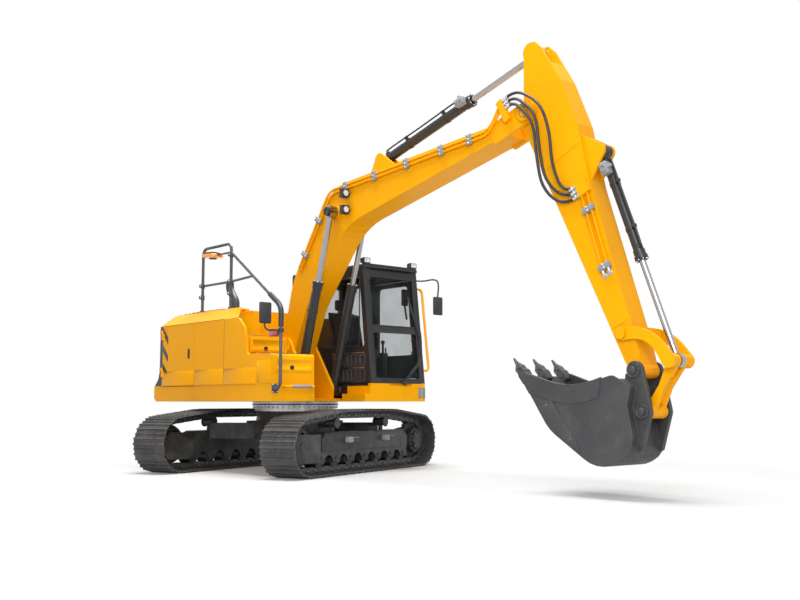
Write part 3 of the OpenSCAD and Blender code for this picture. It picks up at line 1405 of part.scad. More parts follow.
track_left();
track_right();
track_frame_left();
track_frame_right();
rollers();
idlers();
final_drives();
car_body();
slew_ring();
deck();
counterweight();
engine_block();
side_panels();
door_right();
door_left();
top_cover();
hood();
exhaust();
handrail();
beacon();
step_boxes();
toolbox_lid();
tank_door();
cab_frame();
cab_roof();
cab_glass();
cab_door();
door_glass();
seat();
controls();
cab_lamps();
mirrors();
grab_rail();
boom();
boom_pipes();
boom_lamps();
boom_barrels();
boom_rods();
arm();
arm_pipes();
arm_barrel();
arm_rod();
bucket_barrel();
bucket_rod();
rocker();
link();
bucket();
bucket_teeth();
hose_upper();
hose_middle();
hose_lower();
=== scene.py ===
"""Crawler excavator: finishes, fittings, studio and camera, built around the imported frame."""

import json
import logging
import math
from dataclasses import dataclass, field
from enum import Enum
from typing import Iterable, Sequence

import bpy
from mathutils import Matrix, Vector


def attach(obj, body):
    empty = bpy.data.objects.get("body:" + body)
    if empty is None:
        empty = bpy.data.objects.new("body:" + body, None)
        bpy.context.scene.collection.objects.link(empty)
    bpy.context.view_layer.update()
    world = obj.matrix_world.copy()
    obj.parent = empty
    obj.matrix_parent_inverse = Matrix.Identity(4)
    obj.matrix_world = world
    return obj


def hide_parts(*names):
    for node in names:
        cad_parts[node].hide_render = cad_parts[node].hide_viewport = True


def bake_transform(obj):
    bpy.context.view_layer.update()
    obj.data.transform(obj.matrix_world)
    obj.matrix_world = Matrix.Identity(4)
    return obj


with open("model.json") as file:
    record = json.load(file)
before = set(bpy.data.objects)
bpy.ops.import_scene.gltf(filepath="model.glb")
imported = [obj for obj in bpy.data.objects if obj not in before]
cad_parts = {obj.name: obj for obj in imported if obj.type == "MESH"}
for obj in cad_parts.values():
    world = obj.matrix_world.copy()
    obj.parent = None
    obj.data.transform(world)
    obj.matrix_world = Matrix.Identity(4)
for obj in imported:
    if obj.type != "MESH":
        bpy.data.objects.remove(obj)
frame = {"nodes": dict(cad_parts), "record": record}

log = logging.getLogger("excavator")
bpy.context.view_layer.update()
Colour = tuple[float, float, float]
Point = tuple[float, float, float]
Outline = Sequence[tuple[float, float]]
Mesh = bpy.types.Object
Material = bpy.types.Material
Socket = bpy.types.NodeSocket


def shifted(x: float, y: float, z: float) -> Matrix:
    """A move in metres along X, Y and Z."""
    return Matrix.Translation((x, y, z))


def rotated(degrees: float, axis: str) -> Matrix:
    """A turn about one axis."""
    return Matrix.Rotation(math.radians(degrees), 4, axis)


MIRROR = Matrix.Diagonal((1.0, -1.0, 1.0, 1.0))
STAND = rotated(90, "X")
LIE = rotated(90, "Y")


class Body(Enum):
    """The moving bodies that carry pieces."""

    UNDERCARRIAGE = "undercarriage"
    UPPER = "upper"
    CAB_DOOR = "cab_entry"
    DOOR_RIGHT = "side_door_right"
    DOOR_LEFT = "side_door_left"
    TOOL_LID = "tool_lid"
    TANK_DOOR = "tank_entry"
    BOOM = "boom_body"
    BOOM_CYLINDERS = "boom_cylinders"
    ARM = "arm_body"
    ARM_CYLINDER = "arm_cylinder"
    BUCKET_CYLINDER = "bucket_cylinder"
    BUCKET = "bucket_body"


class Slot(Enum):
    """The record's material slots."""

    YELLOW = "yellow_paint"
    CHARCOAL = "charcoal_paint"
    BLACK = "black_paint"
    STEEL = "worn_steel"
    CHROME = "rod_chrome"
    PANE = "pane"
    PLASTIC = "black_plastic"
    AMBER = "amber_lens"
    CLOTH = "seat_cloth"
    RUBBER = "hose_rubber"


class Graph:
    """A small helper that lays out the nodes of one material."""

    def __init__(self, name: str) -> None:
        """Start a material with a Principled shader and Object coordinates.

        Args:
            name: the material's name.
        """
        self.material = bpy.data.materials.new(name)
        self.material.use_nodes = True
        self.tree = self.material.node_tree
        self.shader = self.tree.nodes["Principled BSDF"]
        self.output = self.tree.nodes["Material Output"]
        self.coords = self.node("ShaderNodeTexCoord").outputs["Object"]

    def node(self, kind: str, **values: object) -> bpy.types.Node:
        """Add a node and set its properties.

        Args:
            kind: Blender's name of the node type.
            values: properties to set on the node.

        Returns:
            The new node.
        """
        made = self.tree.nodes.new(kind)
        for key, value in values.items():
            setattr(made, key, value)
        return made

    def link(self, start: Socket, end: Socket) -> None:
        """Join two sockets."""
        self.tree.links.new(start, end)

    def set(self, **values: object) -> None:
        """Set constants on the shader's own sockets, with underscores for spaces."""
        for key, value in values.items():
            self.shader.inputs[key.replace("_", " ")].default_value = value

    def feed(self, name: str, source: Socket) -> None:
        """Lead a socket into one of the shader's own."""
        self.link(source, self.shader.inputs[name])

    def noise(self, scale: float, detail: float = 3.0, stretch: Point = (1, 1, 1)) -> Socket:
        """A noise pattern on Object coordinates.

        Args:
            scale: features per metre.
            detail: octaves of the noise.
            stretch: scale of the coordinates along each axis.

        Returns:
            The pattern's factor socket.
        """
        source = self.coords
        if stretch != (1, 1, 1):
            mapping = self.node("ShaderNodeMapping")
            mapping.inputs["Scale"].default_value = stretch
            self.link(self.coords, mapping.inputs["Vector"])
            source = mapping.outputs["Vector"]
        made = self.node("ShaderNodeTexNoise")
        made.inputs["Scale"].default_value = scale
        made.inputs["Detail"].default_value = detail
        self.link(source, made.inputs["Vector"])
        return made.outputs["Fac"]

    def spread(self, factor: Socket, low: float, high: float, out_low: float, out_high: float) -> Socket:
        """Map a factor from one range to another, clamped, and return the result socket.

        Args:
            factor: socket of the value.
            low: start of the value's range.
            high: end of the value's range.
            out_low: result at the start.
            out_high: result at the end.

        Returns:
            The result's socket.
        """
        made = self.node("ShaderNodeMapRange")
        for key, value in (("From Min", low), ("From Max", high), ("To Min", out_low), ("To Max", out_high)):
            made.inputs[key].default_value = value
        self.link(factor, made.inputs["Value"])
        return made.outputs["Result"]

    def times(self, first: Socket, second: Socket) -> Socket:
        """Multiply two values and return the product socket."""
        made = self.node("ShaderNodeMath", operation="MULTIPLY")
        self.link(first, made.inputs[0])
        self.link(second, made.inputs[1])
        return made.outputs["Value"]

    def mix(self, factor: Socket, first: object, second: object) -> Socket:
        """Mix two colours, each a socket or a colour, by a factor.

        Args:
            factor: 0 shows the first colour and 1 the second.
            first: a colour or a colour socket.
            second: a colour or a colour socket.

        Returns:
            The mixed colour's socket.
        """
        made = self.node("ShaderNodeMix", data_type="RGBA")
        self.link(factor, made.inputs["Factor"])
        for value, socket in ((first, made.inputs["A"]), (second, made.inputs["B"])):
            if isinstance(value, Socket):
                self.link(value, socket)
            else:
                socket.default_value = (*value, 1.0)
        return made.outputs["Result"]

    def bump(self, height: Socket, strength: float, distance: float, normal: Socket | None = None) -> Socket:
        """Turn a height into a normal, on top of another normal where one is given.

        Args:
            height: socket of the height.
            strength: share of the bump that shows.
            distance: depth in metres.
            normal: normal to build on, or None.

        Returns:
            The normal's socket.
        """
        made = self.node("ShaderNodeBump")
        made.inputs["Strength"].default_value = strength
        made.inputs["Distance"].default_value = distance
        self.link(height, made.inputs["Height"])
        if normal is not None:
            self.link(normal, made.inputs["Normal"])
        return made.outputs["Normal"]

    def soft_edges(self, radius: float) -> Socket:
        """The normal of a surface whose edges are rounded by a radius in metres."""
        made = self.node("ShaderNodeBevel", samples=4)
        made.inputs["Radius"].default_value = radius
        return made.outputs["Normal"]

    def edge_mask(self, radius: float) -> Socket:
        """A mask that is 1 on edges within a radius and 0 on flat faces."""
        dot = self.node("ShaderNodeVectorMath", operation="DOT_PRODUCT")
        self.link(self.soft_edges(radius), dot.inputs[0])
        self.link(self.node("ShaderNodeNewGeometry").outputs["Normal"], dot.inputs[1])
        return self.spread(dot.outputs["Value"], 0.75, 0.98, 1.0, 0.0)

    def height_mask(self, low: float, high: float) -> Socket:
        """A mask that falls from 1 below low to 0 above high, in metres over the ground."""
        parts = self.node("ShaderNodeSeparateXYZ")
        self.link(self.coords, parts.inputs["Vector"])
        return self.spread(parts.outputs["Z"], low, high, 1.0, 0.0)


@dataclass(frozen=True)
class Finish:
    """The look of one surface. A subclass lays out its nodes."""

    name: str
    slot: Slot

    def material(self) -> Material:
        """The finish's material, made once and then shared."""
        return bpy.data.materials.get(self.name) or self.build()

    def build(self) -> Material:
        """Lay out the material's nodes."""
        raise NotImplementedError

    def coat(self, obj: Mesh) -> None:
        """Put the finish on every face of an object."""
        obj.data.materials.clear()
        obj.data.materials.append(self.material())


@dataclass(frozen=True)
class Enamel(Finish):
    """Sprayed machine enamel with a faint orange peel, softened edges and settled dust."""

    colour: Colour
    shade: Colour
    roughness: float = 0.3
    coat_weight: float = 0.35
    dust: float = 0.12
    edge: float = 0.006
    specular: float = 0.22

    def build(self) -> Material:
        """Lay out the enamel: tone drift, dust low down, peel and rounded edges."""
        g = Graph(self.name)
        drift = g.spread(g.noise(0.9, 4.0), 0.3, 0.7, 0.0, 1.0)
        tone = g.mix(drift, self.colour, self.shade)
        grit = g.spread(g.noise(7.0, 6.0), 0.42, 0.72, 0.0, self.dust)
        dusty = g.mix(g.times(grit, g.height_mask(0.5, 2.4)), tone, (0.36, 0.30, 0.22))
        g.feed("Base Color", dusty)
        g.feed(
            "Roughness",
            g.spread(g.noise(11.0, 5.0), 0.3, 0.75, self.roughness - 0.05, self.roughness + 0.12))
        peel = g.bump(g.noise(420.0, 2.0), 0.04, 0.0004, g.soft_edges(self.edge))
        g.feed("Normal", peel)
        g.set(Coat_Weight=self.coat_weight, Coat_Roughness=0.12, Specular_IOR_Level=self.specular)
        return g.material


@dataclass(frozen=True)
class WornCast(Finish):
    """Dark coating over steel that is rubbed bright along its edges."""

    colour: Colour
    bare: Colour = (0.34, 0.33, 0.32)
    rub: float = 0.8
    edge: float = 0.008
    roughness: float = 0.5

    def build(self) -> Material:
        """Lay out the coating, its rubbed edges, dust and cast grain."""
        g = Graph(self.name)
        patch = g.spread(g.noise(14.0, 6.0), 0.38, 0.62, 0.15, self.rub)
        rub = g.times(g.edge_mask(self.edge), patch)
        drift = g.mix(
            g.spread(g.noise(2.2, 5.0), 0.35, 0.7, 0.0, 1.0), self.colour,
            tuple(c * 1.45 + 0.006 for c in self.colour))
        earth = g.times(g.spread(g.noise(5.0, 6.0), 0.5, 0.72, 0.0, 0.35), g.height_mask(0.1, 1.4))
        g.feed("Base Color", g.mix(rub, g.mix(earth, drift, (0.17, 0.14, 0.11)), self.bare))
        g.feed("Metallic", g.spread(rub, 0.0, 1.0, 0.0, 0.85))
        g.feed(
            "Roughness", g.spread(g.noise(30.0, 5.0), 0.3, 0.7, self.roughness - 0.08, self.roughness + 0.14))
        g.feed("Normal", g.bump(g.noise(160.0, 4.0), 0.14, 0.0012, g.soft_edges(self.edge)))
        return g.material


@dataclass(frozen=True)
class BareSteel(Finish):
    """Machined or forged steel with drawn streaks."""

    colour: Colour
    roughness: float = 0.34
    stretch: Point = (1, 1, 0.12)
    edge: float = 0.003

    def build(self) -> Material:
        """Lay out the streaked metal."""
        g = Graph(self.name)
        streak = g.noise(60.0, 6.0, self.stretch)
        tone = g.mix(g.spread(streak, 0.3, 0.7, 0.0, 1.0), tuple(0.72 * c for c in self.colour), self.colour)
        g.feed("Base Color", tone)
        g.feed("Roughness", g.spread(streak, 0.25, 0.75, self.roughness - 0.1, self.roughness + 0.14))
        g.feed("Normal", g.bump(streak, 0.06, 0.0005, g.soft_edges(self.edge)))
        g.set(Metallic=1.0)
        return g.material


@dataclass(frozen=True)
class Chrome(Finish):
    """Ground chrome of a cylinder rod, with a faint film of oil."""

    colour: Colour = (0.40, 0.41, 0.43)

    def build(self) -> Material:
        """Lay out the bright metal and its oil film."""
        g = Graph(self.name)
        film = g.noise(26.0, 5.0)
        g.feed("Base Color", g.mix(g.spread(film, 0.35, 0.7, 0.0, 0.4), self.colour, (0.30, 0.31, 0.32)))
        g.feed("Roughness", g.spread(film, 0.3, 0.75, 0.09, 0.22))
        g.set(Metallic=1.0)
        return g.material


@dataclass(frozen=True)
class Moulding(Finish):
    """Grained plastic or rubber."""

    colour: Colour
    roughness: float = 0.55
    grain: float = 300.0
    depth: float = 0.16
    edge: float = 0.004

    def build(self) -> Material:
        """Lay out the grain and a slight greying."""
        g = Graph(self.name)
        grey = g.spread(g.noise(6.0, 5.0), 0.4, 0.75, 0.0, 1.0)
        g.feed("Base Color", g.mix(grey, self.colour, tuple(1.3 * c + 0.008 for c in self.colour)))
        g.feed(
            "Roughness", g.spread(g.noise(24.0, 4.0), 0.3, 0.7, self.roughness - 0.07, self.roughness + 0.1))
        g.feed("Normal", g.bump(g.noise(self.grain, 2.0), self.depth, 0.0006, g.soft_edges(self.edge)))
        return g.material


@dataclass(frozen=True)
class Pane(Finish):
    """Tinted window glass with a trace of dust."""

    tint: Colour = (0.85, 0.86, 0.86)
    mirror: Colour = (0.05, 0.06, 0.065)

    def build(self) -> Material:
        """Lay out a clear tinted sheet with gloss that grows at low angles."""
        g = Graph(self.name)
        clear = g.node("ShaderNodeBsdfTransparent")
        clear.inputs["Color"].default_value = (*self.tint, 1.0)
        g.set(Base_Color=(*self.mirror, 1.0), Coat_Weight=1.0, Coat_Roughness=0.02)
        g.feed("Roughness", g.spread(g.noise(9.0, 5.0), 0.35, 0.75, 0.03, 0.1))
        rim = g.node("ShaderNodeLayerWeight")
        rim.inputs["Blend"].default_value = 0.25
        dust = g.spread(g.noise(4.0, 6.0), 0.45, 0.8, 0.04, 0.10)
        total = g.node("ShaderNodeMath", operation="ADD", use_clamp=True)
        g.link(g.spread(rim.outputs["Facing"], 0.2, 1.0, 0.0, 0.6), total.inputs[0])
        g.link(dust, total.inputs[1])
        sheet = g.node("ShaderNodeMixShader")
        g.link(total.outputs["Value"], sheet.inputs["Fac"])
        g.link(clear.outputs["BSDF"], sheet.inputs[1])
        g.link(g.shader.outputs["BSDF"], sheet.inputs[2])
        g.link(sheet.outputs["Shader"], g.output.inputs["Surface"])
        return g.material


@dataclass(frozen=True)
class Lens(Finish):
    """A coloured lamp lens with moulded ribs."""

    colour: Colour
    glow: float = 0.0

    def build(self) -> Material:
        """Lay out the ribbed lens."""
        g = Graph(self.name)
        ribs = g.node("ShaderNodeTexWave", bands_direction="Z")
        ribs.inputs["Scale"].default_value = 40.0
        g.link(g.coords, ribs.inputs["Vector"])
        g.feed("Base Color", g.mix(ribs.outputs["Fac"], tuple(0.75 * c for c in self.colour), self.colour))
        g.feed("Normal", g.bump(ribs.outputs["Fac"], 0.25, 0.002))
        g.set(
            Roughness=0.12, Coat_Weight=0.8, Emission_Color=(*self.colour, 1.0), Emission_Strength=self.glow)
        return g.material


@dataclass(frozen=True)
class Cloth(Finish):
    """Woven seat cloth."""

    colour: Colour
    thread: float = 420.0

    def build(self) -> Material:
        """Lay out crossed threads and a slight fade."""
        g = Graph(self.name)
        heights = []
        for direction in ("Y", "Z"):
            wave = g.node("ShaderNodeTexWave", bands_direction=direction)
            wave.inputs["Scale"].default_value = self.thread / 6.0
            wave.inputs["Distortion"].default_value = 1.2
            g.link(g.coords, wave.inputs["Vector"])
            heights.append(wave.outputs["Fac"])
        weave = g.times(*heights)
        g.feed("Base Color", g.mix(weave, self.colour, tuple(1.8 * c + 0.01 for c in self.colour)))
        g.feed("Normal", g.bump(weave, 0.5, 0.0012))
        g.feed("Roughness", g.spread(g.noise(8.0, 4.0), 0.3, 0.7, 0.78, 0.95))
        g.set(Sheen_Weight=0.25)
        return g.material


class Looks:
    """Every finish on the machine."""

    YELLOW = Enamel(
        "machine_yellow", Slot.YELLOW, (0.86, 0.375, 0.0), (0.82, 0.345, 0.0), 0.36, 0.03, 0.02,
        specular=0.10)
    FRAME_GREY = Enamel(
        "frame_charcoal", Slot.CHARCOAL, (0.022, 0.023, 0.025), (0.030, 0.031, 0.033), 0.42, 0.12, 0.10)
    CAB_BLACK = Enamel(
        "cab_black", Slot.CHARCOAL, (0.016, 0.017, 0.019), (0.024, 0.025, 0.027), 0.34, 0.25, 0.06)
    BARREL_BLACK = Enamel(
        "cylinder_black", Slot.BLACK, (0.020, 0.020, 0.022), (0.028, 0.028, 0.030), 0.30, 0.3, 0.05)
    RAIL_GREY = Enamel(
        "rail_grey", Slot.CHARCOAL, (0.055, 0.058, 0.064), (0.075, 0.078, 0.084), 0.36, 0.2, 0.05)
    CLAMP_GREY = Enamel("clamp_grey", Slot.CHARCOAL, (0.22, 0.23, 0.24), (0.28, 0.29, 0.30), 0.4, 0.15, 0.05)
    TRACK = WornCast("track_steel", Slot.CHARCOAL, (0.030, 0.029, 0.029))
    BUCKET = WornCast("bucket_coat", Slot.CHARCOAL, (0.030, 0.031, 0.033), rub=0.45)
    TEETH = BareSteel("tooth_steel", Slot.STEEL, (0.16, 0.16, 0.165), 0.40)
    BEARING = BareSteel("bearing_steel", Slot.STEEL, (0.62, 0.63, 0.64), 0.3)
    ZINC = BareSteel("zinc_fitting", Slot.STEEL, (0.66, 0.67, 0.68), 0.28)
    ROD = Chrome("ground_chrome", Slot.CHROME)
    PLASTIC = Moulding("black_moulding", Slot.PLASTIC, (0.016, 0.016, 0.018))
    TRIM = Moulding("dark_trim", Slot.PLASTIC, (0.032, 0.033, 0.036), 0.5)
    HOSE = Moulding("hose_cover", Slot.RUBBER, (0.012, 0.012, 0.013), 0.5, 700.0, 0.25)
    GRIP = Moulding("anti_slip", Slot.PLASTIC, (0.060, 0.062, 0.066), 0.8, 120.0, 0.7)
    GLASS = Pane("tinted_pane", Slot.PANE)
    AMBER = Lens("amber_glass", Slot.AMBER, (0.86, 0.28, 0.02), 0.25)
    RED = Lens("red_lens", Slot.AMBER, (0.55, 0.015, 0.012))
    CLEAR = Lens("lamp_lens", Slot.PANE, (0.72, 0.74, 0.75))
    SEAT = Cloth("seat_weave", Slot.CLOTH, (0.030, 0.031, 0.034))


SMOOTH = math.radians(40)
BLOCK_ROUNDING = 0.45
ROUNDING = 0.4
UPWARD = 0.9
FLATNESS = 1e-5
SINK = 0.34
PIPE_STEPS = 8


def clear() -> None:
    """Leave edit mode and deselect everything."""
    if bpy.context.object and bpy.context.object.mode != "OBJECT":
        bpy.ops.object.mode_set(mode="OBJECT")
    bpy.ops.object.select_all(action="DESELECT")


def pick(*objs: Mesh) -> None:
    """Select some objects only, the first of them active.

    Args:
        objs: the objects.
    """
    clear()
    for obj in objs:
        obj.select_set(True)
    bpy.context.view_layer.objects.active = objs[0]


def settle(obj: Mesh, matrix: Matrix | None = None) -> Mesh:
    """Move an object by a matrix and put its place into its mesh.

    Args:
        obj: the object.
        matrix: the move, or None.

    Returns:
        The same object.
    """
    if matrix is not None:
        obj.matrix_world = matrix @ obj.matrix_world
    pick(obj)
    bpy.ops.object.transform_apply(location=True, rotation=True, scale=True)
    return obj


def bevel(obj: Mesh, width: float, segments: int = 2, angle: float = 35.0) -> Mesh:
    """Round the edges of an object and smooth its faces by angle.

    Args:
        obj: the object.
        width: radius of the edges.
        segments: faces across an edge.
        angle: least angle in degrees of an edge that is rounded.

    Returns:
        The same object.
    """
    pick(obj)
    modifier = obj.modifiers.new("rounding", "BEVEL")
    modifier.width = width
    modifier.segments = segments
    modifier.limit_method = "ANGLE"
    modifier.angle_limit = math.radians(angle)
    modifier.harden_normals = False
    bpy.ops.object.modifier_apply(modifier=modifier.name)
    bpy.ops.object.shade_smooth_by_angle(angle=SMOOTH)
    return obj


def block(
        name: str, low: Sequence[float], high: Sequence[float], round_by: float = 0.004,
        matrix: Matrix | None = None) -> Mesh:
    """A block between two corners with rounded edges.

    Args:
        name: the piece's name.
        low: lowest corner in metres.
        high: highest corner in metres.
        round_by: radius of the edges.
        matrix: where the block's own frame lies.

    Returns:
        The new object, at the origin.
    """
    clear()
    a, b = Vector(low), Vector(high)
    bpy.ops.mesh.primitive_cube_add(size=1.0, location=(a + b) / 2)
    obj = bpy.context.object
    obj.name = name
    obj.scale = b - a
    settle(obj)
    bevel(obj, min(round_by, BLOCK_ROUNDING * min(b - a)))
    return settle(obj, matrix) if matrix is not None else obj


def round_bar(
        name: str, start: Sequence[float], end: Sequence[float], radius: float, sides: int = 24,
        round_by: float = 0.003, hollow: float = 0.0) -> Mesh:
    """A turned bar or ring between two points.

    Args:
        name: the piece's name.
        start: middle of one end.
        end: middle of the other end.
        radius: outer radius.
        sides: faces round the bar.
        round_by: radius of the rims.
        hollow: radius of a sunk face at the far end, or 0.

    Returns:
        The new object, at the origin.
    """
    clear()
    a, b = Vector(start), Vector(end)
    bpy.ops.mesh.primitive_cylinder_add(vertices=sides, radius=radius, depth=(b - a).length)
    obj = bpy.context.object
    obj.name = name
    if hollow:
        sink_end(obj, radius, hollow)
    turn = (b - a).to_track_quat("Z", "Y").to_matrix().to_4x4()
    settle(obj, Matrix.Translation((a + b) / 2) @ turn)
    return bevel(obj, min(round_by, ROUNDING * radius))


def sink_end(obj: Mesh, radius: float, hollow: float) -> None:
    """Inset the far end of a standing cylinder and push it in by a third of the sunk face's radius.

    Args:
        obj: the cylinder.
        radius: its radius.
        hollow: radius of the sunk face.
    """
    bpy.ops.object.mode_set(mode="EDIT")
    bpy.ops.mesh.select_all(action="DESELECT")
    bpy.ops.object.mode_set(mode="OBJECT")
    top = max(face.center.z for face in obj.data.polygons)
    for face in obj.data.polygons:
        face.select = face.normal.z > UPWARD and face.center.z > top - FLATNESS
    bpy.ops.object.mode_set(mode="EDIT")
    bpy.ops.mesh.select_mode(type="FACE")
    bpy.ops.mesh.inset(thickness=radius - hollow)
    bpy.ops.transform.translate(value=(0, 0, -SINK * hollow))
    bpy.ops.object.mode_set(mode="OBJECT")


def raw(name: str, points: Sequence[Point], edges: Sequence[tuple], faces: Sequence[Sequence[int]]) -> Mesh:
    """An object from bare points, edges and faces, picked for the next step.

    Args:
        name: the piece's name.
        points: its points in metres.
        edges: pairs of points.
        faces: rings of points.

    Returns:
        The new object, at the origin.
    """
    clear()
    mesh = bpy.data.meshes.new(name)
    mesh.from_pydata(points, edges, faces)
    obj = bpy.data.objects.new(name, mesh)
    bpy.context.collection.objects.link(obj)
    pick(obj)
    return obj


def outward(obj: Mesh) -> None:
    """Make every face of an object look outwards.

    Args:
        obj: the object.
    """
    pick(obj)
    bpy.ops.object.mode_set(mode="EDIT")
    bpy.ops.mesh.select_all(action="SELECT")
    bpy.ops.mesh.normals_make_consistent(inside=False)
    bpy.ops.object.mode_set(mode="OBJECT")


def plate(name: str, outline: Outline, thickness: float, matrix: Matrix, round_by: float = 0.003) -> Mesh:
    """A plate of any outline, drawn in X and Y, extruded along Z and placed by a matrix.

    Args:
        name: the piece's name.
        outline: corners in order, in metres.
        thickness: depth along the plate's own Z.
        matrix: where the plate's own frame lies.
        round_by: radius of the edges.

    Returns:
        The new object, at the origin.
    """
    obj = raw(name, [(x, y, 0.0) for x, y in outline], [], [list(range(len(outline)))])
    bpy.ops.object.mode_set(mode="EDIT")
    bpy.ops.mesh.select_all(action="SELECT")
    bpy.ops.mesh.extrude_region_move(TRANSFORM_OT_translate={"value": (0, 0, thickness)})
    outward(obj)
    settle(obj, matrix)
    return bevel(obj, min(round_by, ROUNDING * thickness))


def new_curve(name: str, radius: float, roundness: int) -> bpy.types.Curve:
    """An empty curve with a round section and closed ends.

    Args:
        name: the curve's name.
        radius: radius of the section.
        roundness: Blender's bevel resolution of the section.

    Returns:
        The new curve.
    """
    clear()
    curve = bpy.data.curves.new(name, "CURVE")
    curve.dimensions = "3D"
    curve.bevel_depth = radius
    curve.bevel_resolution = roundness
    curve.use_fill_caps = True
    return curve


def skin(name: str, curve: bpy.types.Curve, degrees: float) -> Mesh:
    """Turn a curve into a mesh that is smooth up to an angle.

    Args:
        name: the piece's name.
        curve: the curve.
        degrees: least angle that stays sharp.

    Returns:
        The new object, at the origin.
    """
    obj = bpy.data.objects.new(name, curve)
    bpy.context.collection.objects.link(obj)
    pick(obj)
    bpy.ops.object.convert(target="MESH")
    bpy.ops.object.shade_smooth_by_angle(angle=math.radians(degrees))
    return bpy.context.object


def pipe(name: str, points: Sequence[Sequence[float]], radius: float, sides: int) -> Mesh:
    """A round tube along points, bent smoothly through them.

    Args:
        name: the piece's name.
        points: the route in metres.
        radius: the tube's outer radius.
        sides: faces round the tube.

    Returns:
        The new object, at the origin.
    """
    curve = new_curve(name, radius, max(0, sides // 4 - 1))
    curve.resolution_u = PIPE_STEPS
    knots = curve.splines.new("BEZIER").bezier_points
    knots.add(len(points) - 1)
    for knot, point in zip(knots, points):
        knot.co = point
        knot.handle_left_type = knot.handle_right_type = "AUTO"
    return skin(name, curve, 50)


def copies(master: Mesh, matrices: Iterable[Matrix], name: str) -> Mesh:
    """Copy a modelled piece to several places, each with its own mesh, and join them.

    Args:
        master: the piece, modelled at the origin; it is used up.
        matrices: where each copy goes.
        name: name of the joined piece.

    Returns:
        The joined object.
    """
    made = []
    for matrix in matrices:
        twin = master.copy()
        twin.data = master.data.copy()
        twin.data.transform(matrix)
        bpy.context.collection.objects.link(twin)
        made.append(twin)
    bpy.data.objects.remove(master, do_unlink=True)
    return join(name, made)


def join(name: str, objs: Sequence[Mesh]) -> Mesh:
    """Join objects into one piece with a name.

    Args:
        name: name of the piece.
        objs: the objects, which are used up.

    Returns:
        The joined object.
    """
    pick(*objs)
    if len(objs) > 1:
        bpy.ops.object.join()
    obj = bpy.context.object
    obj.name = name
    obj.data.name = name
    return obj


def fit(obj: Mesh, finish: Finish, body: Body) -> Mesh:
    """Give a piece its finish and the body that it moves with, and report it.

    Args:
        obj: the piece.
        finish: its finish.
        body: the body that it rides on.

    Returns:
        The same object.
    """
    finish.coat(obj)
    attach(obj, body.value)
    log.info("%s on %s, %d faces", obj.name, body.value, len(obj.data.polygons))
    return obj


def group(name: str, objs: Sequence[Mesh], finish: Finish, body: Body) -> Mesh:
    """Join objects into one named piece and fit it."""
    return fit(join(name, objs), finish, body)


@dataclass
class Plane:
    """A flat frame in the boom's plane: x along a member, z square to it, y to the left."""

    origin: Vector
    angle: float

    def matrix(self) -> Matrix:
        """The frame's place in the machine."""
        return Matrix.Translation(self.origin) @ Matrix.Rotation(-self.angle, 4, "Y")

    def at(self, x: float, z: float, y: float = 0.0) -> Vector:
        """A point of the frame in the machine's own coordinates."""
        return self.matrix() @ Vector((x, y, z))


class Linkage:
    """Pins and frames of the digging gear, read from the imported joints."""

    def __init__(self) -> None:
        """Read each joint's place."""
        joints = {joint["name"]: joint for joint in frame["record"]["behaviour"]["joints"]}
        self.pins = {name: Vector(joint["pos_m"]) for name, joint in joints.items() if "pos_m" in joint}
        self.axes = {name: Vector(joint["axis"]) for name, joint in joints.items()}
        self.boom = self.between("boom_lift", "arm_crowd")
        self.arm = self.between("arm_crowd", "bucket_curl")
        self.bucket = Plane(self.pins["bucket_curl"], 0.0)
        self.boom_cylinder = self.along("boom_cylinder_tilt", "boom_rod_stroke")
        self.arm_cylinder = self.along("arm_cylinder_tilt", "arm_rod_stroke")
        self.bucket_cylinder = self.along("bucket_cylinder_tilt", "bucket_rod_stroke")

    def between(self, start: str, end: str) -> Plane:
        """The frame from one joint's pin to another's."""
        way = self.pins[end] - self.pins[start]
        return Plane(self.pins[start], math.atan2(way.z, way.x))

    def along(self, start: str, slide: str) -> Plane:
        """The frame of a cylinder, from its lower pin along its rod."""
        way = self.axes[slide]
        return Plane(self.pins[start], math.atan2(way.z, way.x))


WELD = 0.0002
FACING = 0.95
SLOPE = 0.8


def lathe(name: str, profile: Outline, centre: Point, steps: int = 40) -> Mesh:
    """Turn a profile of radius and height about an upright axis.

    Args:
        name: the piece's name.
        profile: points of radius and height, from the bottom up.
        centre: where the axis stands.
        steps: faces round the piece.

    Returns:
        The new object, at the origin.
    """
    edges = [(i, i + 1) for i in range(len(profile) - 1)]
    obj = raw(name, [(r, 0.0, z) for r, z in profile], edges, [])
    bpy.ops.object.mode_set(mode="EDIT")
    bpy.ops.mesh.select_all(action="SELECT")
    bpy.ops.mesh.spin(steps=steps, angle=math.tau, center=(0, 0, 0), axis=(0, 0, 1))
    bpy.ops.mesh.select_all(action="SELECT")
    bpy.ops.mesh.remove_doubles(threshold=WELD)
    outward(obj)
    settle(obj, Matrix.Translation(Vector(centre)))
    bpy.ops.object.shade_smooth_by_angle(angle=math.radians(35))
    return obj


def recess(obj: Mesh, way: Point, margin: float, depth: float) -> Mesh:
    """Inset the largest flat face that looks one way and push it in.

    Args:
        obj: the piece.
        way: direction that the face looks.
        margin: width of the rim left round the recess.
        depth: how far the face goes in.

    Returns:
        The same object.
    """
    direction = Vector(way).normalized()
    faces = obj.data.polygons
    best = max(faces, key=lambda face: face.area * (face.normal.dot(direction) > FACING))
    pick(obj)
    for part in (obj.data.vertices, obj.data.edges, faces):
        part.foreach_set("select", [False] * len(part))
    best.select = True
    bpy.ops.object.mode_set(mode="EDIT")
    bpy.ops.mesh.select_mode(type="FACE")
    bpy.ops.mesh.inset(thickness=margin)
    bpy.ops.mesh.inset(thickness=depth * SLOPE)
    bpy.ops.transform.translate(value=direction * -depth)
    bpy.ops.object.mode_set(mode="OBJECT")
    return obj


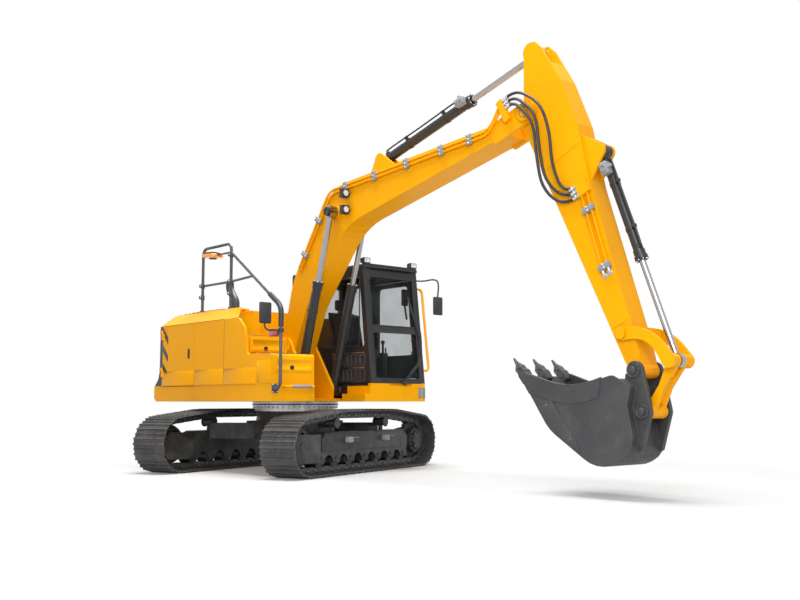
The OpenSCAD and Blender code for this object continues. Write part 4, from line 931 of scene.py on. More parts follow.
def bolt(name: str, radius: float, height: float) -> Mesh:
    """A hexagon bolt head on a washer, standing along Z at the origin."""
    head = round_bar(name, (0, 0, 0), (0, 0, height), radius, 6, height * 0.14)
    washer = round_bar(name + "_washer", (0, 0, 0), (0, 0, height * 0.25), radius * 1.35, 16, height * 0.06)
    return join(name, [head, washer])


def bolts(
        name: str, radius: float, height: float, heads: Sequence[Matrix], finish: Finish, body: Body) -> Mesh:
    """Bolt heads at several places, joined into one piece and fitted."""
    return fit(copies(bolt(name, radius, height), heads, name), finish, body)


def ring(count: int, radius: float, frame_of: Matrix, first: float = 0.0) -> list[Matrix]:
    """Places evenly round a circle in the X and Y of a frame, each looking along its Z."""
    turns = [Matrix.Rotation(math.radians(first) + math.tau * i / count, 4, "Z") for i in range(count)]
    return [frame_of @ turn @ shifted(radius, 0, 0) for turn in turns]


def looking(place: Sequence[float], way: Sequence[float]) -> Matrix:
    """A frame at a place whose Z looks one way."""
    return Matrix.Translation(Vector(place)) @ Vector(way).to_track_quat("Z", "Y").to_matrix().to_4x4()


def shell(name: str, rows: Sequence[Sequence[Sequence[float]]], thickness: float) -> Mesh:
    """A thin film over a grid of points, thickened to both sides.

    Args:
        name: the piece's name.
        rows: points of the grid, row by row.
        thickness: thickness of the film.

    Returns:
        The new object, at the origin.
    """
    wide = len(rows[0])
    points = [tuple(point) for row in rows for point in row]
    faces = [
        (i * wide + j, i * wide + j + 1, (i + 1) * wide + j + 1, (i + 1) * wide + j)
        for i in range(len(rows) - 1) for j in range(wide - 1)]
    obj = raw(name, points, [], faces)
    modifier = obj.modifiers.new("thickness", "SOLIDIFY")
    modifier.thickness = thickness
    modifier.offset = 0.0
    bpy.ops.object.modifier_apply(modifier=modifier.name)
    bpy.ops.object.shade_smooth_by_angle(angle=math.radians(30))
    return obj


@dataclass
class TrackGear:
    """Link plates, pin ends and shoe bolts along both tracks."""

    gauge: float = 1.990
    heading: float = 110.0
    wheelbase: float = 2.920
    height: float = 0.736
    top_run: float = 0.820
    carrier: float = 0.620
    carrier_radius: float = 0.060
    count: int = 45
    rise: float = 0.045
    drop: float = 0.042
    shoe: float = 0.029
    plate: float = 0.009
    row_in: float = 0.040
    row_out: float = 0.070

    def rings(self) -> list[tuple[Vector, float]]:
        """Circles that the pin line runs round.

        Returns:
            Middle and radius of each circle, in the track's side view.
        """
        tip = self.rise + self.shoe
        bend = self.carrier_radius + self.drop
        lift = self.top_run - tip - bend
        half, axle = self.wheelbase / 2, self.height / 2
        return [
            (Vector((half, axle)), axle - tip), (Vector((self.carrier, lift)), bend),
            (Vector((-self.carrier, lift)), bend), (Vector((-half, axle)), axle - tip)]

    def line(self, steps: int = 48) -> list[Vector]:
        """Close points along the pin line.

        Args:
            steps: points on each arc.

        Returns:
            The points in order, in the track's side view.
        """
        rings = self.rings()

        def leave(i: int) -> float:
            """Angle at which the loop leaves a ring for the next one.

            Args:
                i: the ring's number.

            Returns:
                The angle in radians.
            """
            (a, ra), (b, rb) = rings[i % 4], rings[(i + 1) % 4]
            way = b - a
            return math.atan2(way.y, way.x) - math.acos((ra - rb) / way.length)

        points = []
        for i, (middle, radius) in enumerate(rings):
            first = leave(i + 3)
            sweep = (leave(i) - first) % math.tau
            points += [
                middle + radius * Vector((
                    math.cos(first + sweep * k / steps), math.sin(first + sweep * k / steps)))
                for k in range(steps + 1)]
        return points

    def pins(self) -> list[Vector]:
        """The pins, evenly along the line.

        Returns:
            The pins' middles in the track's side view.
        """
        points = self.line()
        points.append(points[0])
        lengths = [(b - a).length for a, b in zip(points, points[1:])]
        pitch = sum(lengths) / self.count
        pins, walked, target = [], 0.0, 0.0
        for a, b, length in zip(points, points[1:], lengths):
            while target < walked + length - 1e-9 and len(pins) < self.count:
                pins.append(a.lerp(b, (target - walked) / length))
                target += pitch
            walked += length
        return pins

    def places(self) -> list[Matrix]:
        """A frame on every shoe: X along the pitch, Z outwards.

        Returns:
            One frame for each shoe of both tracks.
        """
        pins = self.pins()
        turn = rotated(self.heading, "Z")
        found = []
        for side in (-0.5, 0.5):
            shift = turn @ shifted(0, side * self.gauge, 0)
            for a, b in zip(pins, pins[1:] + pins[:1]):
                x = (b - a).normalized()
                axes = Matrix(((x.x, 0, x.y, a.x), (0, -1, 0, 0), (x.y, 0, -x.x, a.y), (0, 0, 0, 1)))
                found.append(shift @ axes)
        return found

    def build(self) -> None:
        """Model one link, pin and bolt, and copy them round the tracks."""
        pins = self.pins()
        pitch = (pins[1] - pins[0]).length
        places = self.places()
        low, high = -self.drop - 0.002, self.rise - 0.004
        outline = [
            (0.012, 0.0), (0.030, low), (pitch - 0.034, low), (pitch - 0.012, -0.012), (pitch - 0.012, 0.022),
            (pitch - 0.040, high), (0.045, high), (0.014, 0.026)]
        links = []
        for y in (self.row_out + 0.006, -self.row_in + 0.004, self.row_in + 0.008, -self.row_out + 0.006):
            links.append(plate("link_side", outline, 0.012, shifted(0, y, 0) @ STAND, 0.002))
        master = join("track_links", links)
        fit(copies(master, places, "track_links"), Looks.TRACK, Body.UNDERCARRIAGE)
        pin = round_bar("track_pins", (0, -self.row_out - 0.014, 0), (0, self.row_out + 0.014, 0), 0.021, 12)
        fit(copies(pin, places, "track_pins"), Looks.TEETH, Body.UNDERCARRIAGE)
        top = self.rise + self.plate
        bolts = [
            place @ shifted(share * pitch, y, top) for place in places for share in (0.31, 0.69)
            for y in (-0.055, 0.055)]
        head = round_bar("shoe_bolts", (0, 0, -0.002), (0, 0, 0.011), 0.013, 6, 0.0015)
        fit(copies(head, bolts, "shoe_bolts"), Looks.TRACK, Body.UNDERCARRIAGE)


@dataclass
class FrameGear:
    """Covers, steps, roller caps and drive bolts on the track frames."""

    gauge: float = 1.990
    heading: float = 110.0
    axle: float = 1.460
    axle_height: float = 0.368
    side: float = 0.120
    rollers: int = 7
    roller_span: float = 2.090
    roller_height: float = 0.1944

    def sides(self) -> list[Matrix]:
        """The frame of each track, its Y looking away from the machine's middle."""
        turn = rotated(self.heading, "Z")
        return [turn @ shifted(0, self.gauge / 2, 0), turn @ shifted(0, -self.gauge / 2, 0) @ MIRROR]

    def spread(self, obj: Mesh, name: str, finish: Finish) -> None:
        """Copy a piece modelled on one track to both and finish it."""
        made = copies(obj, self.sides(), name)
        outward(made)
        fit(made, finish, Body.UNDERCARRIAGE)

    def covers(self) -> None:
        """Idler covers, long side panel, and black patches that paint the shade inside their openings."""
        face = shifted(0, self.side + 0.016, 0) @ STAND
        end = [(-1.66, 0.26), (-1.58, 0.175), (-1.08, 0.165), (-1.08, 0.515), (-1.55, 0.525), (-1.66, 0.47)]
        cover = plate("idler_covers", end, 0.016, face, 0.005)
        inner = plate("inner_covers", end, 0.016, shifted(0, -self.side, 0) @ STAND, 0.005)
        panel = plate(
            "frame_panels",
            [(-1.05, 0.30), (0.93, 0.30), (0.93, 0.455), (0.86, 0.515), (-0.98, 0.515), (-1.05, 0.45)], 0.012,
            face, 0.004)
        self.spread(join("frame_covers", [cover, inner, panel]), "frame_covers", Looks.FRAME_GREY)
        # Painted shade: black patches on the cover face stand in for the shade inside its openings, which are
        # not cut.
        hole_shades = [
            block(
                "hole", (x - w / 2, self.side + 0.010, z - h / 2), (x + w / 2, self.side + 0.0185, z + h / 2),
                0.003)
            for x, z, w, h in (
                (-1.36, 0.36, 0.055, 0.055), (-0.42, 0.40, 0.05, 0.085), (-0.60, 0.42, 0.30, 0.022),
                (0.62, 0.42, 0.30, 0.022), (0.86, 0.41, 0.018, 0.11), (-0.98, 0.40, 0.012, 0.16))]
        self.spread(join("frame_hole_shade", hole_shades), "frame_hole_shade", Looks.PLASTIC)

    def steps(self) -> None:
        """Grey step pads over the frame's lugs."""
        pads = []
        for x in (-0.405, 0.535):
            pad = block(
                "pad", (x - 0.122, self.side + 0.010, 0.395), (x - 0.122 + 0.10, self.side + 0.098, 0.475),
                0.02)
            pads.append(recess(pad, (0, 1, 0), 0.012, 0.004))
            pads.append(block(
                "tread", (x - 0.01, self.side + 0.018, 0.455), (x + 0.11, self.side + 0.094, 0.463), 0.003))
        self.spread(join("frame_steps", pads), "frame_steps", Looks.CLAMP_GREY)

    def rollers_and_drive(self) -> None:
        """Roller caps with bolts, and the bolt rings of the final drives and idlers."""
        caps, heads = [], []
        for i in range(self.rollers):
            x = -self.roller_span / 2 + i * self.roller_span / (self.rollers - 1)
            caps.append(round_bar(
                "cap", (x, self.side - 0.002, self.roller_height), (x, self.side + 0.016, self.roller_height),
                0.034, 20, 0.004, 0.02))
            heads += [
                looking((x + s * 0.055, self.side, self.roller_height - 0.01), (0, 1, 0)) for s in (-1, 1)]
        caps.append(round_bar(
            "hub", (self.axle, 0.128, self.axle_height), (self.axle, 0.146, self.axle_height), 0.105, 32,
            0.006, 0.07))
        caps.append(round_bar(
            "hub", (-self.axle, self.side - 0.01, self.axle_height),
            (-self.axle, self.side + 0.024, self.axle_height), 0.062, 24, 0.005, 0.04))
        self.spread(join("roller_caps", caps), "roller_caps", Looks.FRAME_GREY)
        heads += ring(16, 0.154, looking((self.axle, 0.100, self.axle_height), (0, 1, 0)))
        heads += ring(8, 0.118, looking((self.axle, 0.134, self.axle_height), (0, 1, 0)))
        heads += ring(6, 0.045, looking((-self.axle, self.side + 0.014, self.axle_height), (0, 1, 0)))
        self.spread(
            copies(bolt("drive_bolts", 0.012, 0.014), heads, "drive_bolts"), "drive_bolts", Looks.TEETH)

    def build(self) -> None:
        """Model every fitting of the track frames."""
        self.covers()
        self.steps()
        self.rollers_and_drive()


@dataclass
class SlewGear:
    """Bolts and seal of the slew bearing."""

    radius: float = 0.571
    height: float = 0.853
    count: int = 48

    def build(self) -> None:
        """Model the bolt row under the upper ring and the seal above it."""
        frame_of = shifted(0, 0, self.height) @ Matrix.Rotation(math.pi, 4, "X")
        heads = ring(self.count, self.radius, frame_of)
        bolts("slew_bolts", 0.0095, 0.026, heads, Looks.BEARING, Body.UNDERCARRIAGE)
        seal = lathe(
            "slew_seal", [(0.586, 0.872), (0.590, 0.876), (0.590, 0.884), (0.586, 0.888)], (0, 0, 0), 72)
        fit(seal, Looks.PLASTIC, Body.UNDERCARRIAGE)


@dataclass
class HousingTrim:
    """Seams, creases, latches, warning film, lamps and louvres of the housing."""

    side: float = -1.245
    skirt: float = 1.1235
    fold: float = 1.980
    seam: float = 0.154
    flare: tuple[tuple[float, float], ...] = (
        (2.120, 1.126), (2.035, 1.2335), (2.005, 1.3435), (2.005, 1.660), (2.005, 1.975))

    def crease(self, name: str, start: float, end: float, body: Body, flip: bool = False) -> None:
        """A bent lower panel edge that leans out towards the skirt.

        Args:
            name: the piece's name.
            start: rear end along X.
            end: front end along X.
            body: the body that it rides on.
            flip: True for the left side.
        """
        bottom = self.skirt + 0.010
        outline = [
            (self.side + 0.001, 1.355), (self.side + 0.001, bottom), (self.side - 0.011, bottom),
            (self.side - 0.010, bottom + 0.02)]
        turn = Matrix(((0, 0, 1, start), (1, 0, 0, 0), (0, 1, 0, 0), (0, 0, 0, 1)))
        obj = plate(name, outline, end - start, turn, 0.002)
        if flip:
            settle(obj, MIRROR)
            outward(obj)
        fit(obj, Looks.YELLOW, body)

    def panels(self) -> None:
        """Creased lower edges, two seams and the turned front corner."""
        self.crease("door_crease_right", -1.488, -0.606, Body.DOOR_RIGHT)
        self.crease("door_crease_left", -1.488, -0.606, Body.DOOR_LEFT, True)
        self.crease("panel_crease_rear", -0.594, self.seam - 0.004, Body.UPPER)
        self.crease("panel_crease_front", self.seam + 0.004, 0.905, Body.UPPER)
        turn = shifted(0, 0, self.skirt + 0.012)
        corner = plate(
            "panel_corner",
            [(0.915, self.side + 0.001), (1.250, self.side + 0.001), (1.250, self.side - 0.016)], 0.285, turn,
            0.002)
        fit(corner, Looks.YELLOW, Body.UPPER)
        strips = [
            block(
                "seam", (self.seam - 0.003, self.side - 0.0012, self.skirt + 0.004),
                (self.seam + 0.003, self.side + 0.004, 1.978), 0.0008),
            block(
                "seam", (-0.59, self.side - 0.0012, self.fold - 0.004),
                (self.seam, self.side + 0.004, self.fold + 0.002), 0.0008)]
        group("panel_seams", strips, Looks.PLASTIC, Body.UPPER)

    def latch(self, name: str, body: Body, flip: float) -> None:
        """A flush latch with a pull and a key barrel.

        Args:
            name: the piece's name.
            body: the door's body.
            flip: 1 for the right side and -1 for the left.
        """
        y = flip * self.side
        out = -flip
        plate = block(
            name, (-0.775, min(y, y + out * 0.006), 1.50), (-0.725, max(y, y + out * 0.006), 1.63), 0.012)
        recess(plate, (0, out, 0), 0.008, 0.004)
        pull = block(
            "pull", (-0.762, min(y, y + out * 0.013), 1.552), (-0.738, max(y, y + out * 0.013), 1.612), 0.006)
        key = round_bar("key", (-0.75, y, 1.522), (-0.75, y + out * 0.012, 1.522), 0.011, 16, 0.002, 0.006)
        group(name, [plate, pull, key], Looks.PLASTIC, body)

    def film(self) -> None:
        """Black film round both tail corners with slanted bars on the doors."""
        for name, flip in (("tail_film_right", 1.0), ("tail_film_left", -1.0)):
            rows = []
            for radius, z in self.flare:
                grown, half = radius + 0.002, 1.2355
                edge = -math.sqrt(grown ** 2 - half ** 2)
                start = math.atan2(-half, edge)
                row = [(-1.504, -half * flip, z), (0.5 * (edge - 1.504), -half * flip, z)]
                for k in range(7):
                    angle = start - math.radians(0.9 * k)
                    row.append((grown * math.cos(angle), flip * grown * math.sin(angle), z))
                rows.append(row if flip > 0 else row[::-1])
            fit(shell(name, rows, 0.002), Looks.TRIM, Body.UPPER)
        for name, flip, body in (("bars_right", 1.0, Body.DOOR_RIGHT), ("bars_left", -1.0, Body.DOOR_LEFT)):
            bars = []
            for top in (1.965, 1.720, 1.475):
                outline = [(-1.486, top), (-1.486, top - 0.10), (-1.335, top - 0.255), (-1.335, top - 0.155)]
                turn = Matrix(((1, 0, 0, 0), (0, 0, -1, 0), (0, 1, 0, 0), (0, 0, 0, 1)))
                y = self.side + 0.0005 if flip > 0 else 0.0015 - self.side
                bars.append(plate("bar", outline, 0.0015, shifted(0, y, 0) @ turn, 0.0003))
            group(name, bars, Looks.TRIM, body)

    def tail_lamps(self) -> None:
        """Tail lamps and the camera of the counterweight."""
        lamps, frames = [], []
        for angle in (155.0, 205.0):
            out = Vector((math.cos(math.radians(angle)), math.sin(math.radians(angle)), 0))
            place = looking(out * 2.005 + Vector((0, 0, 1.60)), out)
            frames.append(block("frame", (-0.16, -0.055, -0.02), (0.16, 0.055, 0.012), 0.008, place))
            lamps.append(block("lamp", (-0.145, -0.042, 0.0), (0.145, 0.042, 0.018), 0.008, place))
        group("tail_lamp_frames", frames, Looks.PLASTIC, Body.UPPER)
        group("tail_lamps", lamps, Looks.RED, Body.UPPER)
        eye = round_bar("tail_camera", (-1.96, 0, 2.02), (-2.045, 0, 1.985), 0.03, 24, 0.004, 0.02)
        fit(eye, Looks.PLASTIC, Body.UPPER)

    def louvres(self) -> None:
        """Cooling slats on the left door, and dark blocks behind the exhaust that paint the shade inside the
        hood's slots.
        """
        slats = [
            block("slat", (-1.36, 1.243, 1.40 + 0.062 * i), (-0.82, 1.254, 1.432 + 0.062 * i), 0.004)
            for i in range(8)]
        group("door_louvres", slats, Looks.TRIM, Body.DOOR_LEFT)
        # Painted shade: dark recessed blocks fill the hood's slots in place of the shade inside them.
        slots = [
            block("slot", (-1.30 + 0.11 * i, -1.020, 2.0975), (-1.23 + 0.11 * i, -0.90, 2.1535), 0.006)
            for i in range(4)]
        for slot in slots:
            recess(slot, (0, 0, 1), 0.008, 0.012)
        group("hood_slot_shade", slots, Looks.TRIM, Body.UPPER)

    def build(self) -> None:
        """Model every trim piece of the housing."""
        self.panels()
        self.latch("door_latch_right", Body.DOOR_RIGHT, 1.0)
        self.latch("door_latch_left", Body.DOOR_LEFT, -1.0)
        self.film()
        self.tail_lamps()
        self.louvres()


@dataclass
class StepGear:
    """Treads, sunk panels, latches and rung sleeve of the step boxes."""

    low: float = 1.500
    high: float = 1.7497
    side: float = -1.215
    inner: float = -0.604
    lid_front: float = 1.251
    door_front: float = 0.6483

    def treads(self) -> None:
        """Ribbed anti-slip plates on both steps."""
        for name, x0, x1, z, body in (
                ("step_tread_low", 0.740, 1.215, self.low, Body.TOOL_LID),
                ("step_tread_high", 0.050, 0.605, self.high, Body.UPPER)):
            plate = block(name, (x0, self.side + 0.03, z), (x1, self.inner - 0.03, z + 0.008), 0.003)
            ribs = [
                block(
                    "rib", (x0 + 0.025 + 0.05 * i, self.side + 0.055, z + 0.006),
                    (x0 + 0.045 + 0.05 * i, self.inner - 0.055, z + 0.013), 0.002)
                for i in range(int((x1 - x0 - 0.04) / 0.05))]
            group(name, [plate, *ribs], Looks.GRIP, body)

    def panel(
            self, name: str, x: float, y: tuple[float, float], z: tuple[float, float],
            latch: tuple[float, float], body: Body) -> None:
        """A sunk panel on a face that looks forward, with a turning latch.

        Args:
            name: the piece's name.
            x: where the face lies.
            y: the panel's ends across.
            z: the panel's ends in height.
            latch: the latch's Y and Z.
            body: the body that it rides on.
        """
        plate = block(name, (x - 0.002, y[0], z[0]), (x + 0.006, y[1], z[1]), 0.004)
        fit(recess(plate, (1, 0, 0), 0.022, 0.005), Looks.YELLOW, body)
        disc = round_bar("disc", (x, *latch), (x + 0.012, *latch), 0.030, 28, 0.003, 0.022)
        pull = block(
            "pull", (x + 0.004, latch[0] - 0.008, latch[1] - 0.022),
            (x + 0.017, latch[0] + 0.008, latch[1] + 0.022), 0.004)
        group(name + "_latch", [disc, pull], Looks.PLASTIC, body)

    def build(self) -> None:
        """Model every fitting of the steps."""
        self.treads()
        self.panel(
            "tank_panel", self.door_front, (-1.150, -0.640), (1.552, 1.718), (-0.931, 1.585), Body.TANK_DOOR)
        self.panel(
            "tool_panel", self.lid_front, (-1.190, -0.630), (1.285, 1.450), (-0.944, 1.330), Body.TOOL_LID)
        sleeve = round_bar("rung_sleeve", (1.365, -1.02, 1.0985), (1.365, -0.73, 1.0985), 0.021, 24, 0.004)
        fit(sleeve, Looks.CLAMP_GREY, Body.UPPER)


@dataclass
class RailGear:
    """Grip, clamps, foot bracket, reflector and mirrors on the rails."""

    side: float = -0.970
    front: float = 1.405
    front_side: float = -1.219
    elbow: float = 2.060
    top: float = 2.910
    start: float = -0.135

    def diagonal(self, z: float) -> Point:
        """The slanted rail's point at a height."""
        share = (self.top - z) / (self.top - self.elbow)
        return (
            self.start + (self.front - self.start) * share, self.side + (self.front_side - self.side) * share,
            z)

    def grip(self) -> None:
        """A thick sleeve round the rail's elbow."""
        route = [
            self.diagonal(2.235), self.diagonal(2.160), self.diagonal(2.108),
            (self.front - 0.012, self.front_side + 0.002, 2.030), (self.front, self.front_side, 1.975),
            (self.front, self.front_side, 1.900), (self.front, self.front_side, 1.815)]
        fit(pipe("rail_grip", route, 0.033, 20), Looks.PLASTIC, Body.UPPER)

    def clamps(self) -> None:
        """Split clamps where rails meet, and the bolted foot bracket."""
        parts, heads = [], []
        for x, z in ((-0.15, 2.885), (-0.15, 2.520), (-0.89, 2.520), (-0.89, 2.360), (-0.15, 2.360)):
            parts.append(round_bar(
                "clamp", (x, self.side, z - 0.032), (x, self.side, z + 0.032), 0.029, 24, 0.004))
            parts.append(block(
                "ear", (x - 0.011, self.side - 0.055, z - 0.022), (x + 0.011, self.side - 0.02, z + 0.022),
                0.004))
            heads.append(looking((x + 0.011, self.side - 0.042, z), (1, 0, 0)))
        parts.append(block("foot", (1.2555, -1.244, 1.020), (1.270, -1.150, 1.130), 0.004))
        heads += [looking((1.270, y, z), (1, 0, 0)) for y in (-1.236, -1.162) for z in (1.032, 1.118)]
        group("rail_clamps", parts, Looks.RAIL_GREY, Body.UPPER)
        bolts("rail_bolts", 0.008, 0.008, heads, Looks.ZINC, Body.UPPER)

    def reflector(self) -> None:
        """A red reflector in a dark frame beside the front rail."""
        back = block("reflector_frame", (1.190, -1.252, 1.700), (1.400, -1.240, 1.775), 0.006)
        fit(back, Looks.PLASTIC, Body.UPPER)
        face = block("reflector", (1.200, -1.2555, 1.708), (1.376, -1.249, 1.767), 0.004)
        fit(face, Looks.RED, Body.UPPER)

    def mirrors(self) -> None:
        """Rounded mirror heads on bent arms, with their faces looking back."""
        parts, faces = [], []
        for x, y, z in ((1.385, -1.449, 1.840), (1.304, 1.452, 2.110)):
            parts.append(block("head", (x + 0.004, y - 0.0825, z), (x + 0.044, y + 0.0825, z + 0.255), 0.018))
            faces.append(block("face", (x, y - 0.070, z + 0.014), (x + 0.010, y + 0.070, z + 0.241), 0.004))
        routes = (
            [
                (1.076, 1.240, 2.6), (1.076, 1.335, 2.6), (1.120, 1.372, 2.6), (1.300, 1.445, 2.6),
                (1.326, 1.452, 2.575), (1.326, 1.452, 2.340)],
            [
                (1.405, -1.225, 1.77), (1.405, -1.330, 1.77), (1.405, -1.420, 1.77), (1.405, -1.449, 1.80),
                (1.405, -1.449, 1.87)])
        parts += [pipe("arm", route, 0.011, 12) for route in routes]
        parts.append(round_bar("clamp", (1.405, -1.219, 1.745), (1.405, -1.219, 1.795), 0.035, 24, 0.005))
        frames = join("mirror_frames", parts)
        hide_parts("mirrors")
        fit(frames, Looks.PLASTIC, Body.UPPER)
        group("mirror_faces", faces, Looks.ROD, Body.UPPER)

    def build(self) -> None:
        """Model every fitting of the rails."""
        self.grip()
        self.clamps()
        self.reflector()
        self.mirrors()


@dataclass
class BeaconGear:
    """The flat warning lamp between the rail's posts."""

    centre: Point = (-0.630, -0.970, 0.0)
    post: float = -0.172

    def build(self) -> None:
        """Turn the lens, the hat and the foot, and make the arm to the post."""
        lens = lathe(
            "beacon_lens",
            [
                (0.0, 2.890), (0.118, 2.890), (0.134, 2.895), (0.140, 2.906), (0.140, 2.930), (0.134, 2.938),
                (0.0, 2.938)],
            self.centre)
        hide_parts("beacon")
        fit(lens, Looks.AMBER, Body.UPPER)
        hat = lathe(
            "beacon_hat",
            [
                (0.0, 2.936), (0.128, 2.936), (0.137, 2.939), (0.140, 2.948), (0.124, 2.960), (0.080, 2.968),
                (0.0, 2.970)],
            self.centre)
        fit(hat, Looks.CAB_BLACK, Body.UPPER)
        x, y, _ = self.centre
        arm = block("beacon_arm", (x + 0.120, y - 0.016, 2.910), (self.post, y + 0.016, 2.930), 0.004)
        foot = lathe(
            "foot", [(0.0, 2.874), (0.048, 2.874), (0.054, 2.880), (0.054, 2.892), (0.0, 2.892)], self.centre)
        group("beacon_arm", [arm, foot], Looks.RAIL_GREY, Body.UPPER)


@dataclass
class CabTrim:
    """Seals, wiper, lamps, panels and inside fittings of the cab."""

    front: float = 1.284
    floor: float = 1.160
    height: float = 1.540
    lean: float = 0.180
    right: float = 0.290
    left: float = 1.245

    def face(self, z: float) -> float:
        """The windscreen's X at a height."""
        return self.front - self.lean * (z - self.floor) / self.height

    def screen(self) -> Matrix:
        """A frame on the windscreen: X outwards, Z up along it."""
        return shifted(self.front, 0, self.floor) @ Matrix.Rotation(
            -math.atan2(self.lean, self.height), 4, "Y")

    @staticmethod
    def ring(
            name: str, low: Point, high: Point, width: float, across: int,
            matrix: Matrix | None = None) -> Mesh:
        """Four bars round an opening that lies square to one axis.

        Args:
            name: the piece's name.
            low: lowest corner of the opening.
            high: highest corner of the opening.
            width: width of the bars, outside the opening.
            across: index of the axis across the opening, 0 for X or 1 for Y.
            matrix: where the opening's own frame lies.

        Returns:
            The joined bars.
        """
        run = 1 - across
        bars = []
        for end in (0, 1):
            a, b = list(low), list(high)
            edge = (low, high)[end][run]
            a[run], b[run] = sorted((edge, edge + (width if end else -width)))
            a[2], b[2] = low[2] - width, high[2] + width
            bars.append(block(name, a, b, 0.003, matrix))
            a, b = list(low), list(high)
            edge = (low, high)[end][2]
            a[2], b[2] = sorted((edge, edge + (width if end else -width)))
            bars.append(block(name, a, b, 0.003, matrix))
        return join(name, bars)

    def seals(self) -> None:
        """Rubber seals round the windscreens."""
        place = self.screen()
        stretch = math.hypot(1.0, self.lean / self.height)
        for name, z0, z1 in (("screen_seal_upper", 1.935, 2.580), ("screen_seal_lower", 1.225, 1.830)):
            ring = self.ring(
                name, (-0.006, 0.385, (z0 - self.floor) * stretch),
                (0.006, 1.150, (z1 - self.floor) * stretch), 0.014, 0, place)
            fit(ring, Looks.PLASTIC, Body.UPPER)
        side = self.ring(
            "window_seal_right", (-0.30, self.right - 0.006, 1.66), (1.03, self.right + 0.004, 2.56), 0.016,
            1)
        fit(side, Looks.PLASTIC, Body.UPPER)

    def wiper(self) -> None:
        """Two linked arms and a blade across the screen."""
        route = [(0.86, 1.16), (1.00, 1.30), (1.17, 1.47), (1.215, 1.70), (1.205, 1.92), (1.13, 2.14)]
        arms = [
            pipe("arm", [(self.face(z) + out, y - shift, z) for y, z in route], 0.0065, 8)
            for shift, out in ((0.0, 0.030), (0.032, 0.026))]
        blade = block(
            "blade", (-0.004, -0.011, -0.30), (0.010, 0.011, 0.30), 0.004,
            shifted(self.face(2.06) + 0.014, 1.12, 2.06) @ rotated(16, "X") @ Matrix.Rotation(
                -math.atan2(self.lean, self.height), 4, "Y"))
        motor = round_bar(
            "motor", (self.face(1.16) - 0.005, 0.86, 1.16), (self.face(1.16) + 0.045, 0.86, 1.16), 0.022, 20,
            0.004)
        group("wiper", [*arms, blade, motor], Looks.PLASTIC, Body.UPPER)

    def lamps(self) -> None:
        """Lenses of the roof lamps and a visor over the screen."""
        lenses = []
        for y in (0.350, 1.185):
            lens = block("roof_lens", (1.121, y - 0.046, 2.770), (1.130, y + 0.046, 2.828), 0.006)
            lenses.append(recess(lens, (1, 0, 0), 0.006, 0.003))
        group("roof_lenses", lenses, Looks.CLEAR, Body.UPPER)
        visor = plate(
            "roof_visor",
            [(1.060, 0.36), (1.150, 0.40), (1.168, 0.50), (1.168, 1.05), (1.150, 1.15), (1.060, 1.19)], 0.012,
            shifted(0, 0, 2.700), 0.004)
        fit(visor, Looks.CAB_BLACK, Body.UPPER)

    def panels(self) -> None:
        """Ribbed panels, strips and a skirt low on the right, vents in the base and the door's handle."""
        ribbed = []
        for z0, z1 in ((1.175, 1.350), (1.368, 1.545)):
            plate = block("panel", (0.46, self.right - 0.010, z0), (1.17, self.right + 0.002, z1), 0.004)
            ribbed.append(recess(plate, (0, -1, 0), 0.02, 0.004))
            ribbed += [
                block(
                    "rib", (0.50 + 0.09 * i, self.right - 0.012, z0 + 0.03),
                    (0.53 + 0.09 * i, self.right - 0.002, z1 - 0.03), 0.003)
                for i in range(7)]
        group("side_ribs", ribbed, Looks.TRIM, Body.UPPER)
        strips = [
            block("strip", (0.47, self.right - 0.014, z), (1.15, self.right - 0.004, z + 0.010), 0.002)
            for z in (1.356, 1.556)]
        group("side_strips", strips, Looks.ZINC, Body.UPPER)
        vents = []
        for y in (1.120, 1.190):
            plate = block(
                "vent", (self.front - 0.004, y, 0.960), (self.front + 0.006, y + 0.058, 1.108), 0.004)
            vents.append(recess(plate, (1, 0, 0), 0.007, 0.004))
            vents += [
                block(
                    "slat", (self.front, y + 0.008, 0.976 + 0.021 * i),
                    (self.front + 0.005, y + 0.050, 0.986 + 0.021 * i), 0.002)
                for i in range(6)]
        group("base_vents", vents, Looks.CLAMP_GREY, Body.UPPER)
        skirt = block(
            "cab_skirt", (-0.435, self.right + 0.024, 0.985),
            (self.front - 0.095, self.right + 0.044, self.floor + 0.002), 0.004)
        fit(recess(skirt, (0, -1, 0), 0.03, 0.004), Looks.CAB_BLACK, Body.UPPER)
        handle = pipe(
            "door_handle",
            [
                (1.00, self.left, 1.60), (1.00, self.left + 0.030, 1.605), (1.00, self.left + 0.034, 1.68),
                (1.00, self.left + 0.030, 1.755), (1.00, self.left, 1.76)],
            0.009, 12)
        fit(handle, Looks.PLASTIC, Body.CAB_DOOR)

    def inside(self) -> None:
        """Monitor on its stalk and the seat's headrest on its posts."""
        screen = block("monitor", (1.000, 1.060, 2.240), (1.035, 1.165, 2.470), 0.010)
        recess(screen, (-1, 0, 0), 0.012, 0.004)
        stalk = round_bar("stalk", (1.018, 1.112, 2.245), (1.030, 1.140, 2.050), 0.014, 16)
        rest = block("headrest", (0.005, 0.650, 2.215), (0.085, 0.885, 2.370), 0.03)
        posts = [round_bar("post", (0.045, y, 2.14), (0.045, y, 2.23), 0.008, 12) for y in (0.70, 0.835)]
        group("cab_inside", [screen, stalk, rest, *posts], Looks.PLASTIC, Body.UPPER)

    def build(self) -> None:
        """Model every fitting of the cab."""
        self.seals()
        self.wiper()
        self.lamps()
        self.panels()
        self.inside()


